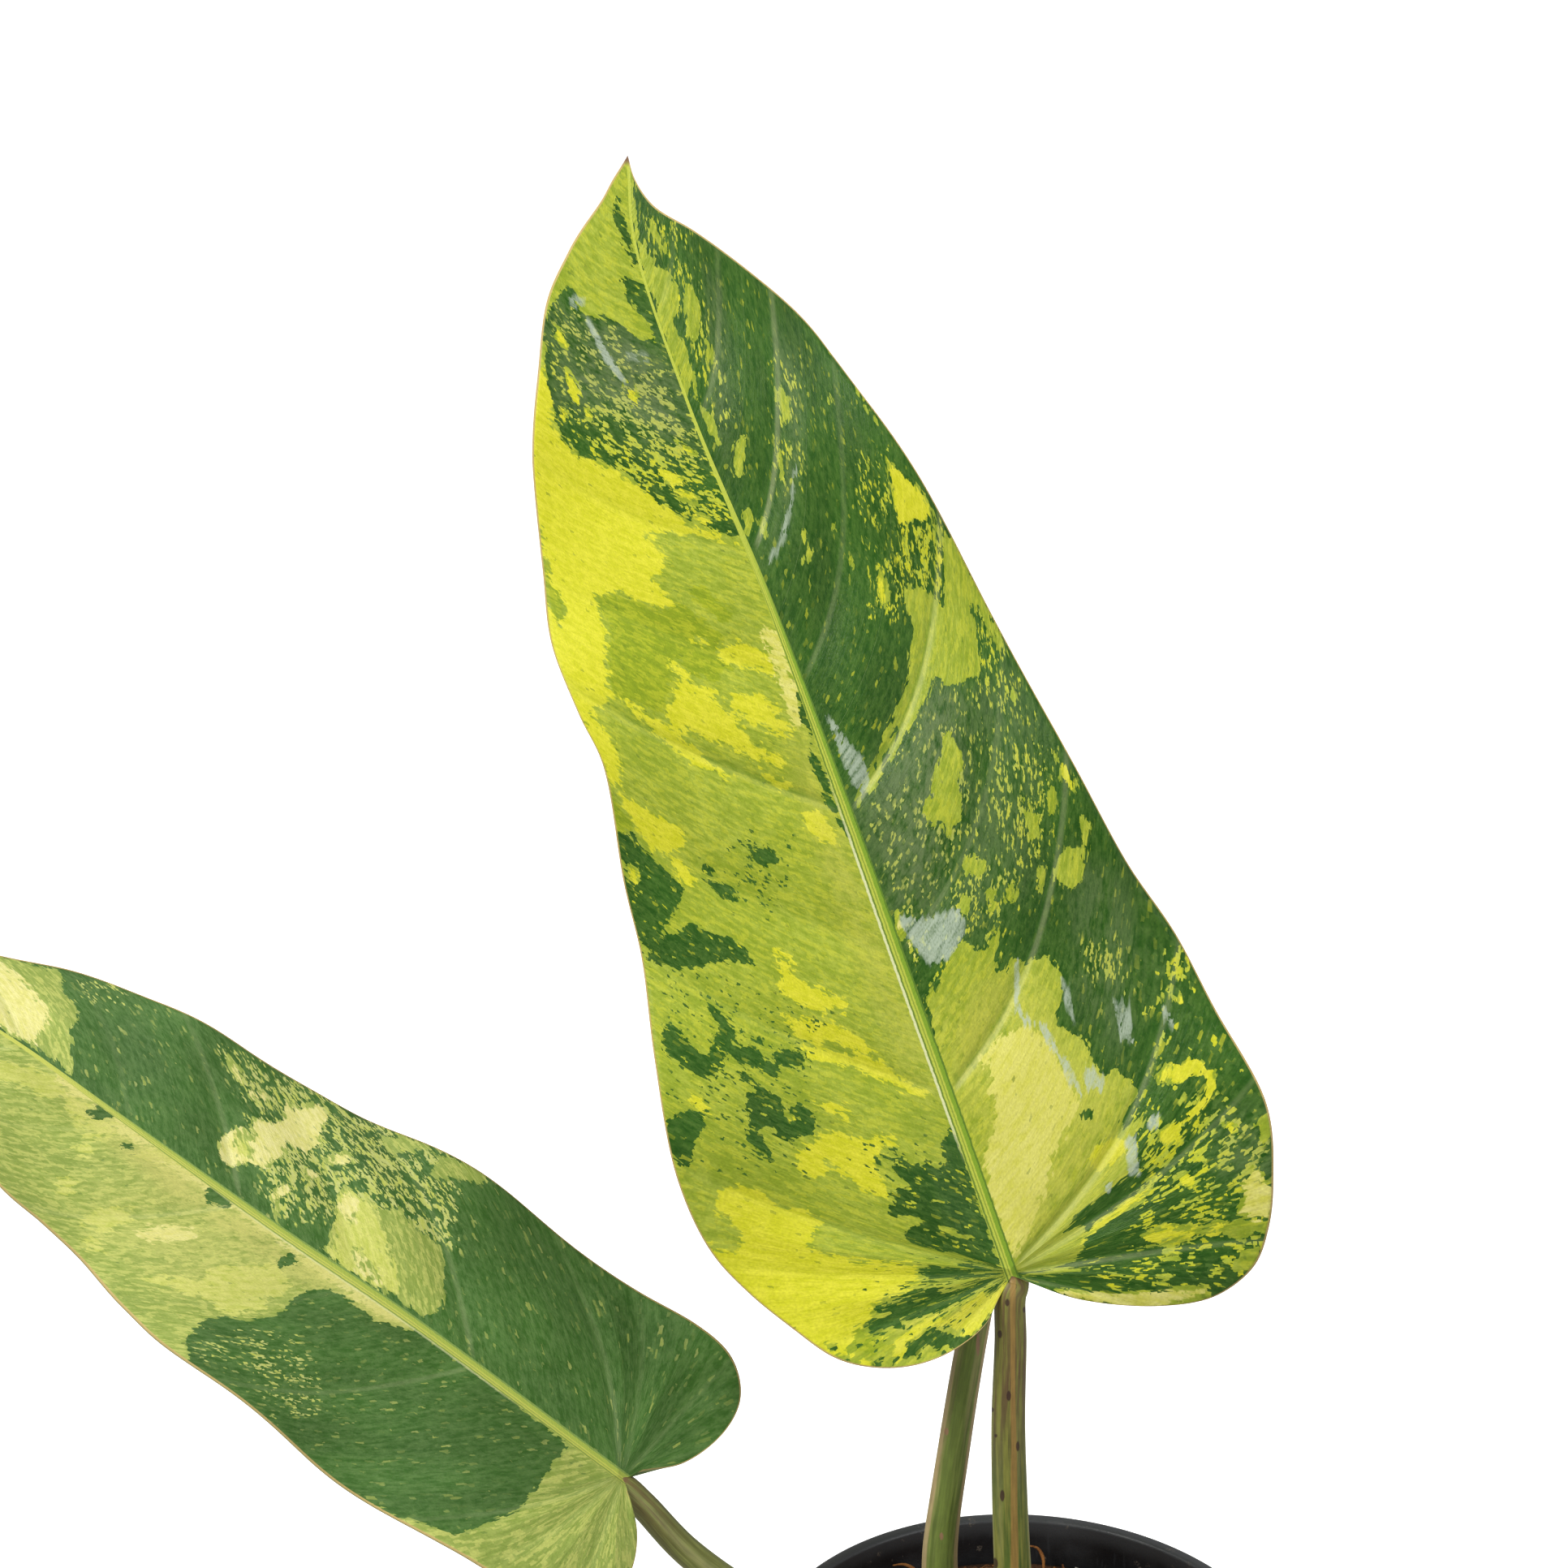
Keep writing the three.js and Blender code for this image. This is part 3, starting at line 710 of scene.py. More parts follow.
    def _veined(self, g: TissueGraph, colour: Socket) -> Socket:
        """Draws the side veins and the midrib over the tissue.

        A side vein has a painted sheen on its base side, painted shade on its tip side and a painted
        shadow line in its furrow. The midrib has yellow and green bands between thin dark lines, given
        in shares of its half width, and a painted highlight along its left edge.

        Args:
            g: the blade's graph.
            colour: what lies under the veins.

        Returns:
            The colour with its veins.
        """
        rib = g.attribute("rib")
        weight = g.attribute("rib_weight")
        # Painted sheen on a vein's base side, painted shade on its tip side, painted shadow in its furrow
        for centre, far, close, share, code in (
                (-0.7, 1.1, 0.2, g.times(g.attribute("rib_sheen"), 0.25), self.rib_highlight),
                (1.0, 1.4, 0.3, 0.28, self.rib_dark), (0.15, 0.5, 0.15, 0.3, self.rib_dark)):
            colour = g.blend(g.times(g.near(rib, centre, far, close), weight, share), colour, code)
        width = g.attribute("midrib_width")
        across = g.math("DIVIDE", g.attribute("across"), width)
        broad = g.step(width, 0.5, 1.1)
        ragged = g.add(across, g.swing(g.noise(g.chart((0.8, 3.0)), 2.0), 0.25))
        colour = g.blend(g.times(g.near(across, 0.0, 1.08, 0.92), 0.92), colour, self.rib_light)
        for centre, far, close, share, code in (
                (0.5, 0.42, 0.26, 0.8, self.rib_green), (-0.76, 0.2, 0.08, 0.75, self.rib_dark),
                (-0.2, 0.14, 0.05, 0.5, self.rib_dark), (0.9, 0.2, 0.08, 0.8, self.rib_dark)):
            colour = g.blend(g.times(g.near(ragged, centre, far, close), broad, share), colour, code)
        # Painted highlight along the midrib's left edge
        rim = g.times(g.near(ragged, -1.08, 0.26, 0.12), g.attribute("midrib_highlight"))
        return g.blend(g.times(rim, 0.9), colour, self.rib_highlight)


@dataclass(frozen=True)
class StalkFinish:
    """Satin stalk skin: long stripes round a green body, with dark scars and a brown knuckle."""

    name: str
    body: tuple[str, str]
    stripe: str
    side: str
    top: str
    scar: str
    knuckle: str = "#6b4a2f"

    def material(self) -> Material:
        """Builds the material.

        Returns:
            The finished material.
        """
        g = Graph(self.name)
        threads = g.noise(g.chart((1.1, 26.0)), 3.0, 0.6)
        stripes = g.noise(g.chart((4.0, 120.0), (3.0, 1.0)), 2.0)
        blotch = g.noise(g.chart((2.0, 3.0)), 3.0)
        fibre = g.noise(g.chart((0.5, 9.0)), 2.0)
        pores = g.noise(g.solid(0.6), 2.0)
        grain = g.step(threads, 0.35, 0.65)
        colour = g.blend(grain, *self.body)
        colour = g.blend(g.times(g.step(stripes, 0.5, 0.62), 0.25), colour, self.side)
        colour = g.blend(g.times(g.attribute("top"), 0.8), colour, g.blend(grain, self.top, self.body[1]))
        for mark, ragged, low, high, share, code in (
                ("stripe", g.swing(threads, 0.9), 0.3, 0.75, 0.9, self.stripe),
                ("side", g.swing(threads, 0.5), 0.25, 0.8, 0.85, self.side),
                ("scar", g.swing(blotch, 0.5), 0.35, 0.75, 0.85, self.scar)):
            reach = g.step(g.add(g.attribute(mark), ragged), low, high)
            colour = g.blend(g.times(reach, share), colour, code)
        colour = g.blend(g.times(g.attribute("knuckle"), 0.8), colour, self.knuckle)
        colour = g.shade(colour, g.times(g.spread(fibre, 0.6, 1.4), g.spread(blotch, 0.84, 1.16)))
        normal = g.bump(g.add(g.times(threads, 0.7), g.times(fibre, 0.4), g.times(pores, 0.3)), 0.14)
        g.set(Base_Color=colour, Roughness=g.spread(threads, 0.38, 0.62), Normal=normal,
              Specular_IOR_Level=0.4)
        return g.material


@dataclass(frozen=True)
class PlasticFinish:
    """Black injection-moulded plastic with a fine satin grain, dust and light scuffs.

    It pales between the two heights lip_highlight_from and lip_highlight_full, in millimetres:
    a painted highlight of the lights on the rim.
    """

    name: str = "black_nursery_plastic"
    body: str = "#141416"
    worn: str = "#3b3d40"
    # Colour of the painted highlight on the rim
    lip: str = "#454749"
    dust: str = "#6d6459"
    lip_highlight_from: float = 112.0
    lip_highlight_full: float = 117.0

    def material(self) -> Material:
        """Builds the material.

        Returns:
            The finished material.
        """
        g = Graph(self.name)
        cloud = g.noise(g.solid(9.0), 3.0)
        grain = g.noise(g.solid(0.5), 2.0)
        scuff = g.noise(g.solid(1.2, 1.2, 14.0), 3.0)
        speck = g.cells(g.solid(1.3), "EUCLIDEAN")
        colour = g.blend(g.times(g.step(cloud, 0.4, 0.8), 0.35), self.body, self.worn)
        colour = g.blend(g.times(g.step(scuff, 0.62, 0.7), 0.25), colour, self.worn)
        height = g.node("SeparateXYZ", {0: g.solid(1.0)}).outputs[2]
        # Painted highlight of the lights on the rim's top
        colour = g.blend(g.times(g.step(height, self.lip_highlight_from, self.lip_highlight_full), 0.75), colour, self.lip)
        dusty = g.times(g.step(speck, 0.965, 0.98), g.step(grain, 0.45, 0.6))
        colour = g.blend(g.times(dusty, 0.7), colour, self.dust)
        normal = g.bump(g.add(grain, g.times(scuff, 0.5)), 0.06)
        g.set(Base_Color=colour, Roughness=g.spread(cloud, 0.3, 0.5), Normal=normal, Specular_IOR_Level=0.5)
        return g.material


@dataclass(frozen=True)
class CrumbFinish:
    """A rough, dry or damp matter such as bark, fibre, perlite or peat."""

    name: str
    low: str
    high: str
    stripe: float = 1.0
    grain: float = 1.2
    roughness: float = 0.9

    def material(self) -> Material:
        """Builds the material.

        Returns:
            The finished material.
        """
        g = Graph(self.name)
        fleck = g.noise(g.solid(self.grain, self.grain * self.stripe, self.grain), 4.0, 0.65)
        patch = g.cells(g.solid(7.0), "EUCLIDEAN")
        share = g.step(g.add(g.times(fleck, 0.7), g.times(patch, 0.4)), 0.3, 0.8)
        g.set(Base_Color=g.blend(share, self.low, self.high), Normal=g.bump(fleck, 0.5),
              Roughness=self.roughness, Specular_IOR_Level=0.25)
        return g.material


@dataclass(frozen=True)
class BarkFinish:
    """Green to brown stem skin with pale rings, darker in its furrows."""

    name: str = "stem_skin"
    green: str = "#6f7a35"
    brown: str = "#6b5230"
    root: str = "#8a6a42"

    def material(self) -> Material:
        """Builds the material.

        Returns:
            The finished material.
        """
        g = Graph(self.name)
        fibre = g.noise(g.solid(1.2, 1.2, 7.0), 3.0, 0.6)
        blotch = g.noise(g.solid(6.0), 3.0)
        colour = g.blend(g.step(blotch, 0.38, 0.62), self.green, self.brown)
        colour = g.blend(g.attribute("root"), colour, self.root)
        colour = g.shade(colour, g.spread(fibre, 0.7, 1.25))
        g.set(Base_Color=colour, Roughness=0.62, Normal=g.bump(g.add(fibre, blotch), 0.35))
        return g.material


FRONT_FINISH = LeafFinish(
    name="front_blade_tissue", deep=("#26530c", "#426820"), olive=("#879c1d", "#9bac22"),
    lime=("#92a52c", "#afbc41"), yellow=("#cfd025", "#e1de3a"), cream=("#d3d158", "#e6e180"))
LEFT_FINISH = LeafFinish(
    name="left_blade_tissue", deep=("#3c6524", "#577a3c"), olive=("#869b46", "#98ac54"),
    lime=("#92a64a", "#aebc60"), yellow=("#c0c85c", "#d6d876"), cream=("#dad67a", "#e8e298"),
    # The greyish colours of painted sheen are set on this line with the fleck colours
    fleck="#c6cc7c", ghost="#77965a", painted_sheen="#8f9e62", painted_sheen_fleck="#c4cb82", rib_light="#ccd05e",
    rib_green="#9db04a", rib_dark="#6c8f4a", gleam=0.5)


# Marks of the two blades that the picture shows


PIXELS_PER_MM = 5.0  # the picture's pixels in a millimetre of blade

# A tone's letter in the lists of patches
D, O, L, Y, C = Tone.DEEP, Tone.OLIVE, Tone.LIME, Tone.YELLOW, Tone.CREAM

# A patch is its tone, then x and y of each corner in the picture's pixels. It is laid over
# those before it.
FRONT_LEFT = [
    (Y, 640, 440, 672, 452, 680, 480, 678, 515, 690, 545, 705, 558, 760, 578, 800, 606, 905, 668, 815, 656,
     790, 658, 818, 690, 815, 705, 802, 712, 830, 745, 815, 748, 765, 730, 738, 732, 750, 790, 742, 815,
     760, 862, 735, 872, 700, 900, 640, 800),
    # An olive strip of painted shade along the left margin, where the blade curls away from the light
    (O, 664, 650, 672, 690, 697, 748, 694, 770, 686, 770, 660, 720),
    (O, 734, 733, 765, 731, 818, 752, 830, 742, 850, 752, 890, 780, 882, 800, 885, 812, 905, 822, 880, 838,
     840, 830, 826, 815, 828, 845, 822, 872, 812, 884, 785, 864, 757, 858, 748, 838, 752, 815, 748, 790,
     755, 783, 740, 757),
    (Y, 827, 815, 838, 820, 852, 833, 838, 834, 830, 828),
    (Y, 856, 783, 868, 785, 872, 795, 860, 793),
    (O, 850, 720, 870, 722, 885, 740, 905, 752, 890, 765, 852, 738),
    (Y, 884, 798, 910, 793, 965, 818, 975, 832, 948, 832, 888, 812),
    (Y, 830, 843, 850, 838, 860, 850, 880, 850, 886, 866, 918, 900, 932, 928, 915, 932, 860, 905, 835, 902,
     822, 892, 818, 875, 828, 862),
    (Y, 900, 850, 965, 868, 958, 880, 985, 900, 968, 908, 905, 880),
    (Y, 770, 862, 790, 870, 870, 935, 905, 958, 888, 955, 850, 935, 780, 880),
    (Y, 905, 905, 935, 920, 972, 938, 962, 945, 930, 936, 905, 922),
    (Y, 935, 950, 960, 960, 975, 970, 962, 974, 940, 962),
    (C, 940, 775, 962, 780, 982, 850, 990, 900, 975, 890),
    (Y, 990, 1005, 1012, 1003, 1030, 1020, 1034, 1042, 1012, 1040, 995, 1025),
    (Y, 712, 880, 735, 885, 762, 940, 768, 965, 752, 968),
    (Y, 762, 972, 795, 1003, 815, 1005, 832, 1016, 846, 1036, 838, 1048, 815, 1052, 800, 1045, 770, 1000),
    (Y, 820, 1052, 845, 1062, 858, 1082, 850, 1095, 838, 1085, 828, 1068),
    (O, 748, 975, 770, 1000, 785, 1020, 775, 1030, 755, 1030),
    (D, 757, 1028, 768, 1030, 778, 1023, 784, 1032, 782, 1042, 796, 1048, 842, 1094, 838, 1110, 815, 1150,
     800, 1165, 785, 1170, 772, 1120),
    (Y, 773, 1068, 785, 1064, 790, 1078, 784, 1092, 775, 1085),
    (D, 925, 1047, 945, 1044, 957, 1052, 955, 1066, 940, 1067, 928, 1060),
    (D, 866, 1068, 872, 1067, 879, 1073, 872, 1075),
    (D, 864, 1080, 895, 1088, 912, 1113, 900, 1112),
    (D, 800, 1165, 850, 1140, 900, 1155, 915, 1165, 930, 1188, 922, 1192, 912, 1180, 905, 1190, 896, 1182,
     835, 1195, 800, 1190),
    (Y, 955, 1168, 975, 1185, 985, 1205, 1042, 1232, 1040, 1250, 1020, 1250, 962, 1222),
    (Y, 965, 1248, 1030, 1262, 1055, 1275, 1074, 1292, 1055, 1296, 1030, 1285, 1000, 1282, 980, 1272),
    (Y, 985, 1290, 1082, 1302, 1108, 1334, 1150, 1348, 1120, 1346, 1040, 1314, 1000, 1306),
    (Y, 1000, 1360, 1030, 1360, 1048, 1368, 1045, 1378, 1012, 1372),
    (Y, 1010, 1394, 1062, 1402, 1098, 1400, 1104, 1410, 1084, 1416, 1075, 1440, 1090, 1455, 1092, 1475,
     1068, 1468, 1012, 1425),
    (Y, 990, 1412, 1010, 1410, 1018, 1424, 1018, 1440, 1005, 1450, 988, 1440, 983, 1425),
    (Y, 855, 1350, 872, 1358, 880, 1372, 868, 1375, 856, 1368),
    (Y, 885, 1466, 915, 1458, 945, 1470, 958, 1488, 992, 1494, 1012, 1508, 1000, 1520, 995, 1545,
     1125, 1560, 1132, 1575, 1112, 1592, 1085, 1600, 1072, 1625, 1048, 1640, 1046, 1666, 1085, 1676,
     1085, 1700, 1030, 1690, 960, 1650, 860, 1540, 875, 1535, 905, 1545, 915, 1525, 900, 1500, 880, 1490),
    (Y, 1092, 1650, 1112, 1645, 1125, 1632, 1150, 1622, 1175, 1618, 1205, 1592, 1240, 1576, 1234, 1600,
     1215, 1628, 1195, 1645, 1165, 1636, 1140, 1640, 1115, 1672, 1090, 1684),
    (O, 1048, 1640, 1066, 1636, 1072, 1650, 1096, 1650, 1108, 1662, 1095, 1675, 1070, 1674, 1050, 1664),
    (D, 820, 1195, 895, 1255, 905, 1280, 904, 1290, 930, 1288, 946, 1312, 953, 1300, 962, 1294, 986, 1292,
     993, 1300, 990, 1318, 962, 1312, 958, 1327, 925, 1316, 905, 1306, 896, 1296, 892, 1318, 876, 1330,
     850, 1320, 820, 1300),
    (L, 800, 1190, 840, 1200, 870, 1230, 885, 1262, 880, 1290, 865, 1300, 800, 1240),
    (D, 926, 1280, 938, 1280, 938, 1286, 928, 1286),
    (D, 910, 1322, 925, 1317, 933, 1330, 922, 1336, 912, 1332),
    (D, 925, 1346, 938, 1334, 950, 1348, 968, 1352, 966, 1368, 986, 1357, 1002, 1372, 1006, 1392,
     972, 1406, 955, 1402, 956, 1391, 942, 1390, 936, 1396, 944, 1408, 957, 1416, 953, 1430, 943, 1430,
     920, 1402, 922, 1385, 916, 1362),
    (Y, 968, 1372, 982, 1374, 984, 1382, 972, 1382),
    (D, 800, 1400, 850, 1362, 862, 1370, 868, 1390, 852, 1416, 856, 1430, 846, 1442),
    (D, 1166, 1398, 1174, 1386, 1232, 1560, 1180, 1520, 1120, 1496, 1100, 1500, 1092, 1490, 1104, 1482,
     1096, 1474, 1106, 1464, 1120, 1462, 1102, 1444, 1100, 1430, 1110, 1426, 1125, 1440, 1142, 1428,
     1155, 1438, 1164, 1430, 1160, 1410),
    (D, 1116, 1522, 1130, 1510, 1150, 1508, 1195, 1530, 1236, 1564, 1138, 1536, 1122, 1530),
    (D, 1176, 1552, 1195, 1553, 1238, 1567, 1212, 1566, 1190, 1561),
    (D, 1131, 1568, 1145, 1562, 1240, 1571, 1145, 1577),
    (D, 1076, 1610, 1150, 1588, 1170, 1592, 1190, 1582, 1236, 1573, 1158, 1616, 1135, 1624, 1112, 1626,
     1115, 1640, 1095, 1636, 1088, 1642, 1070, 1642, 1066, 1632, 1098, 1618, 1078, 1622),
    (D, 1214, 1592, 1226, 1582, 1238, 1576, 1228, 1590, 1219, 1596),
    (D, 1114, 1674, 1120, 1662, 1117, 1653, 1130, 1652, 1140, 1641, 1153, 1635, 1184, 1650, 1200, 1646,
     1224, 1616, 1218, 1640, 1200, 1656, 1182, 1664, 1168, 1656, 1152, 1662, 1140, 1656, 1132, 1672),
    (D, 1020, 1658, 1028, 1655, 1031, 1662, 1024, 1666),
    (D, 1034, 1670, 1050, 1673, 1058, 1680, 1042, 1682),
    (D, 1080, 1672, 1092, 1668, 1090, 1680, 1080, 1682),
    (D, 984, 850, 1000, 890, 1003, 932, 1015, 950, 1032, 1000, 1046, 1020, 1072, 1075, 1025, 1000,
     996, 930, 996, 905, 986, 880),
    (D, 763, 342, 795, 352, 838, 420, 880, 520, 925, 650, 915, 664, 850, 645, 760, 578, 735, 565, 712, 562,
     688, 530, 673, 455, 671, 395, 680, 372, 694, 352, 706, 356, 722, 385, 744, 389, 790, 418, 808, 420,
     790, 388, 775, 372),
    (D, 758, 239, 785, 318, 783, 325, 763, 293, 757, 266),
    (Y, 684, 403, 695, 410, 700, 430, 692, 428, 684, 415),
    (Y, 697, 452, 706, 466, 717, 485, 714, 500, 705, 496, 697, 478),
    (Y, 690, 500, 700, 506, 698, 522, 688, 516),
    (Y, 768, 462, 780, 478, 792, 500, 782, 502, 772, 488),
    (Y, 720, 502, 731, 506, 728, 518, 721, 514),
    (Y, 834, 543, 850, 550, 860, 564, 848, 562),
    (Y, 808, 576, 825, 578, 842, 588, 840, 602, 828, 598, 812, 590),
    (Y, 826, 597, 848, 604, 866, 617, 856, 622, 836, 612),
    (Y, 848, 630, 862, 632, 880, 644, 872, 650, 856, 642),
    (Y, 655, 452, 668, 460, 678, 475, 682, 500, 674, 540, 655, 560, 640, 500),
]

FRONT_RIGHT = [
    (L, 772, 192, 784, 225, 782, 255, 800, 285, 812, 320, 832, 352, 838, 375, 832, 395, 846, 430, 852, 462,
     846, 490, 790, 330, 770, 240),
    (D, 784, 258, 795, 272, 806, 300, 815, 328, 800, 318, 790, 295),
    (L, 801, 272, 810, 285, 821, 305, 821, 314, 812, 308, 804, 292),
    (L, 842, 339, 860, 380, 861, 410, 850, 432),
    (L, 866, 413, 874, 418, 878, 436, 876, 448, 868, 440),
    (L, 853, 458, 860, 465, 863, 485, 858, 496, 852, 480),
    (L, 863, 500, 874, 508, 884, 524, 886, 545, 876, 535, 866, 518),
    (L, 902, 551, 910, 540, 920, 536, 917, 585, 910, 592, 902, 582),
    (L, 910, 632, 925, 628, 930, 645, 924, 660, 914, 650),
    (L, 940, 638, 948, 640, 944, 668, 938, 660),
    (L, 956, 562, 962, 553, 966, 575, 966, 590, 958, 592),
    (L, 955, 480, 963, 474, 974, 492, 974, 505, 966, 522, 960, 500),
    (L, 1020, 472, 1026, 488, 1028, 502, 1021, 498),
    (L, 988, 650, 995, 652, 992, 668, 986, 665),
    (L, 984, 690, 994, 676, 1002, 674, 1000, 688, 986, 700),
    (L, 1027, 646, 1034, 645, 1033, 655, 1028, 655),
    (Y, 1091, 560, 1098, 574, 1112, 581, 1129, 598, 1142, 615, 1152, 638, 1142, 642, 1118, 642, 1112, 662,
     1122, 696, 1112, 686),
    (Y, 1078, 700, 1086, 704, 1094, 735, 1090, 748, 1080, 732),
    (Y, 1046, 682, 1052, 684, 1050, 698, 1045, 695),
    (L, 1065, 570, 1070, 568, 1072, 580, 1066, 584),
    (Y, 1055, 478, 1063, 490, 1085, 528, 1075, 515),
    (L, 1146, 640, 1160, 655, 1178, 662, 1246, 812, 1232, 806, 1218, 790, 1204, 772, 1198, 752, 1210, 800,
     1208, 834, 1190, 838, 1178, 846, 1150, 838, 1146, 855, 1102, 930, 1057, 996, 1053, 988, 1060, 968,
     1070, 945, 1086, 925, 1084, 900, 1096, 890, 1121, 840, 1119, 800, 1123, 778, 1114, 722, 1145, 727,
     1150, 738, 1160, 744, 1166, 715, 1162, 680, 1155, 655),
    (D, 1196, 745, 1206, 756, 1226, 805, 1240, 820, 1240, 850, 1212, 850),
    (Y, 1150, 672, 1160, 678, 1163, 700, 1158, 708, 1152, 695),
    (D, 1072, 950, 1118, 880, 1112, 900, 1095, 930, 1080, 952),
    (L, 1242, 845, 1252, 848, 1256, 872, 1248, 868),
    (L, 1160, 905, 1172, 902, 1190, 940, 1180, 965, 1186, 1000, 1168, 1028, 1160, 1012, 1143, 1015,
     1132, 985, 1148, 985, 1146, 965, 1160, 925),
    (L, 1185, 1060, 1195, 1052, 1212, 1056, 1218, 1066, 1214, 1078, 1200, 1082, 1188, 1074),
    (L, 1235, 1092, 1245, 1086, 1255, 1098, 1250, 1110, 1240, 1110),
    (L, 1266, 1004, 1276, 1002, 1278, 1030, 1270, 1040, 1264, 1025),
    (L, 1260, 985, 1268, 984, 1268, 994, 1260, 996),
    (L, 1290, 972, 1300, 970, 1302, 1005, 1296, 1012, 1291, 990),
    (L, 1304, 1050, 1318, 1042, 1340, 1042, 1335, 1080, 1322, 1095, 1308, 1088, 1296, 1088),
    (L, 1330, 1005, 1340, 1005, 1342, 1030, 1336, 1042, 1330, 1025),
    (Y, 1301, 926, 1312, 938, 1328, 968, 1330, 978, 1318, 972, 1306, 955),
    (L, 1278, 1070, 1288, 1065, 1290, 1085, 1284, 1100, 1278, 1090),
    (L, 1186, 1100, 1196, 1105, 1192, 1125, 1182, 1120),
    (L, 1216, 1092, 1228, 1098, 1224, 1125, 1214, 1115),
    (C, 1105, 1122, 1115, 1150, 1140, 1195, 1128, 1185, 1105, 1145),
    (L, 1138, 1225, 1152, 1222, 1168, 1190, 1172, 1172, 1190, 1160, 1200, 1168, 1215, 1170, 1222, 1148,
     1230, 1145, 1228, 1188, 1235, 1200, 1248, 1180, 1262, 1186, 1275, 1180, 1292, 1180, 1308, 1200,
     1309, 1230, 1304, 1250, 1308, 1264, 1336, 1278, 1348, 1306, 1360, 1322, 1378, 1318, 1402, 1346,
     1376, 1386, 1390, 1388, 1412, 1365, 1405, 1392, 1392, 1400, 1402, 1412, 1398, 1440, 1325, 1500,
     1312, 1516, 1335, 1508, 1340, 1525, 1332, 1545, 1310, 1560, 1270, 1568, 1248, 1566, 1175, 1370),
    (C, 1204, 1302, 1240, 1270, 1262, 1264, 1282, 1272, 1296, 1288, 1328, 1348, 1256, 1545, 1244, 1548,
     1218, 1470, 1212, 1420, 1224, 1390, 1226, 1362, 1216, 1340, 1222, 1322),
    (Y, 1342, 1412, 1364, 1402, 1384, 1402, 1390, 1416, 1356, 1444, 1342, 1436),
    (O, 1250, 1556, 1256, 1535, 1306, 1478, 1300, 1496, 1266, 1538, 1258, 1556),
    (D, 1330, 1376, 1342, 1366, 1346, 1374, 1338, 1380),
    (D, 1376, 1386, 1388, 1380, 1392, 1388, 1384, 1394),
    (Y, 1334, 1532, 1348, 1506, 1418, 1458, 1412, 1474),
    (Y, 1406, 1522, 1440, 1505, 1452, 1510, 1476, 1508, 1482, 1514, 1470, 1526, 1430, 1533, 1414, 1533),
    (Y, 1412, 1450, 1420, 1436, 1428, 1440, 1418, 1455),
    (Y, 1482, 1522, 1492, 1510, 1502, 1503, 1512, 1506, 1506, 1518, 1496, 1528),
    (L, 1426, 1545, 1440, 1540, 1456, 1544, 1458, 1550, 1440, 1553, 1428, 1550),
    (L, 1502, 1515, 1530, 1502, 1568, 1502, 1566, 1520, 1552, 1516, 1540, 1524, 1538, 1540, 1552, 1538,
     1550, 1552, 1532, 1566, 1518, 1564, 1530, 1548, 1530, 1532, 1514, 1528),
    (C, 1528, 1458, 1546, 1437, 1554, 1442, 1560, 1458, 1570, 1462, 1570, 1500, 1550, 1503, 1524, 1494,
     1534, 1470),
    (C, 1300, 1590, 1352, 1590, 1370, 1594, 1487, 1585, 1490, 1597, 1430, 1612, 1390, 1612, 1318, 1600),
    (Y, 1345, 1568, 1372, 1570, 1396, 1574, 1390, 1579, 1362, 1577),
    (L, 1424, 1570, 1445, 1567, 1452, 1572, 1432, 1577),
    (L, 1262, 1572, 1290, 1570, 1330, 1568, 1342, 1560, 1300, 1562, 1270, 1566),
    (Y, 1418, 1334, 1440, 1308, 1458, 1310, 1470, 1300, 1498, 1318, 1499, 1342, 1488, 1362, 1456, 1396,
     1448, 1412, 1434, 1410, 1424, 1396, 1456, 1378, 1474, 1360, 1486, 1345, 1484, 1328, 1470, 1326,
     1458, 1334, 1446, 1336, 1432, 1332),
    (Y, 1445, 1452, 1462, 1444, 1478, 1450, 1470, 1466, 1456, 1462),
    (Y, 1503, 1386, 1520, 1380, 1526, 1394, 1512, 1398),
    (Y, 1440, 1212, 1450, 1222, 1460, 1228, 1456, 1240, 1446, 1232),
    (L, 1548, 1385, 1562, 1370, 1566, 1400, 1556, 1412),
]

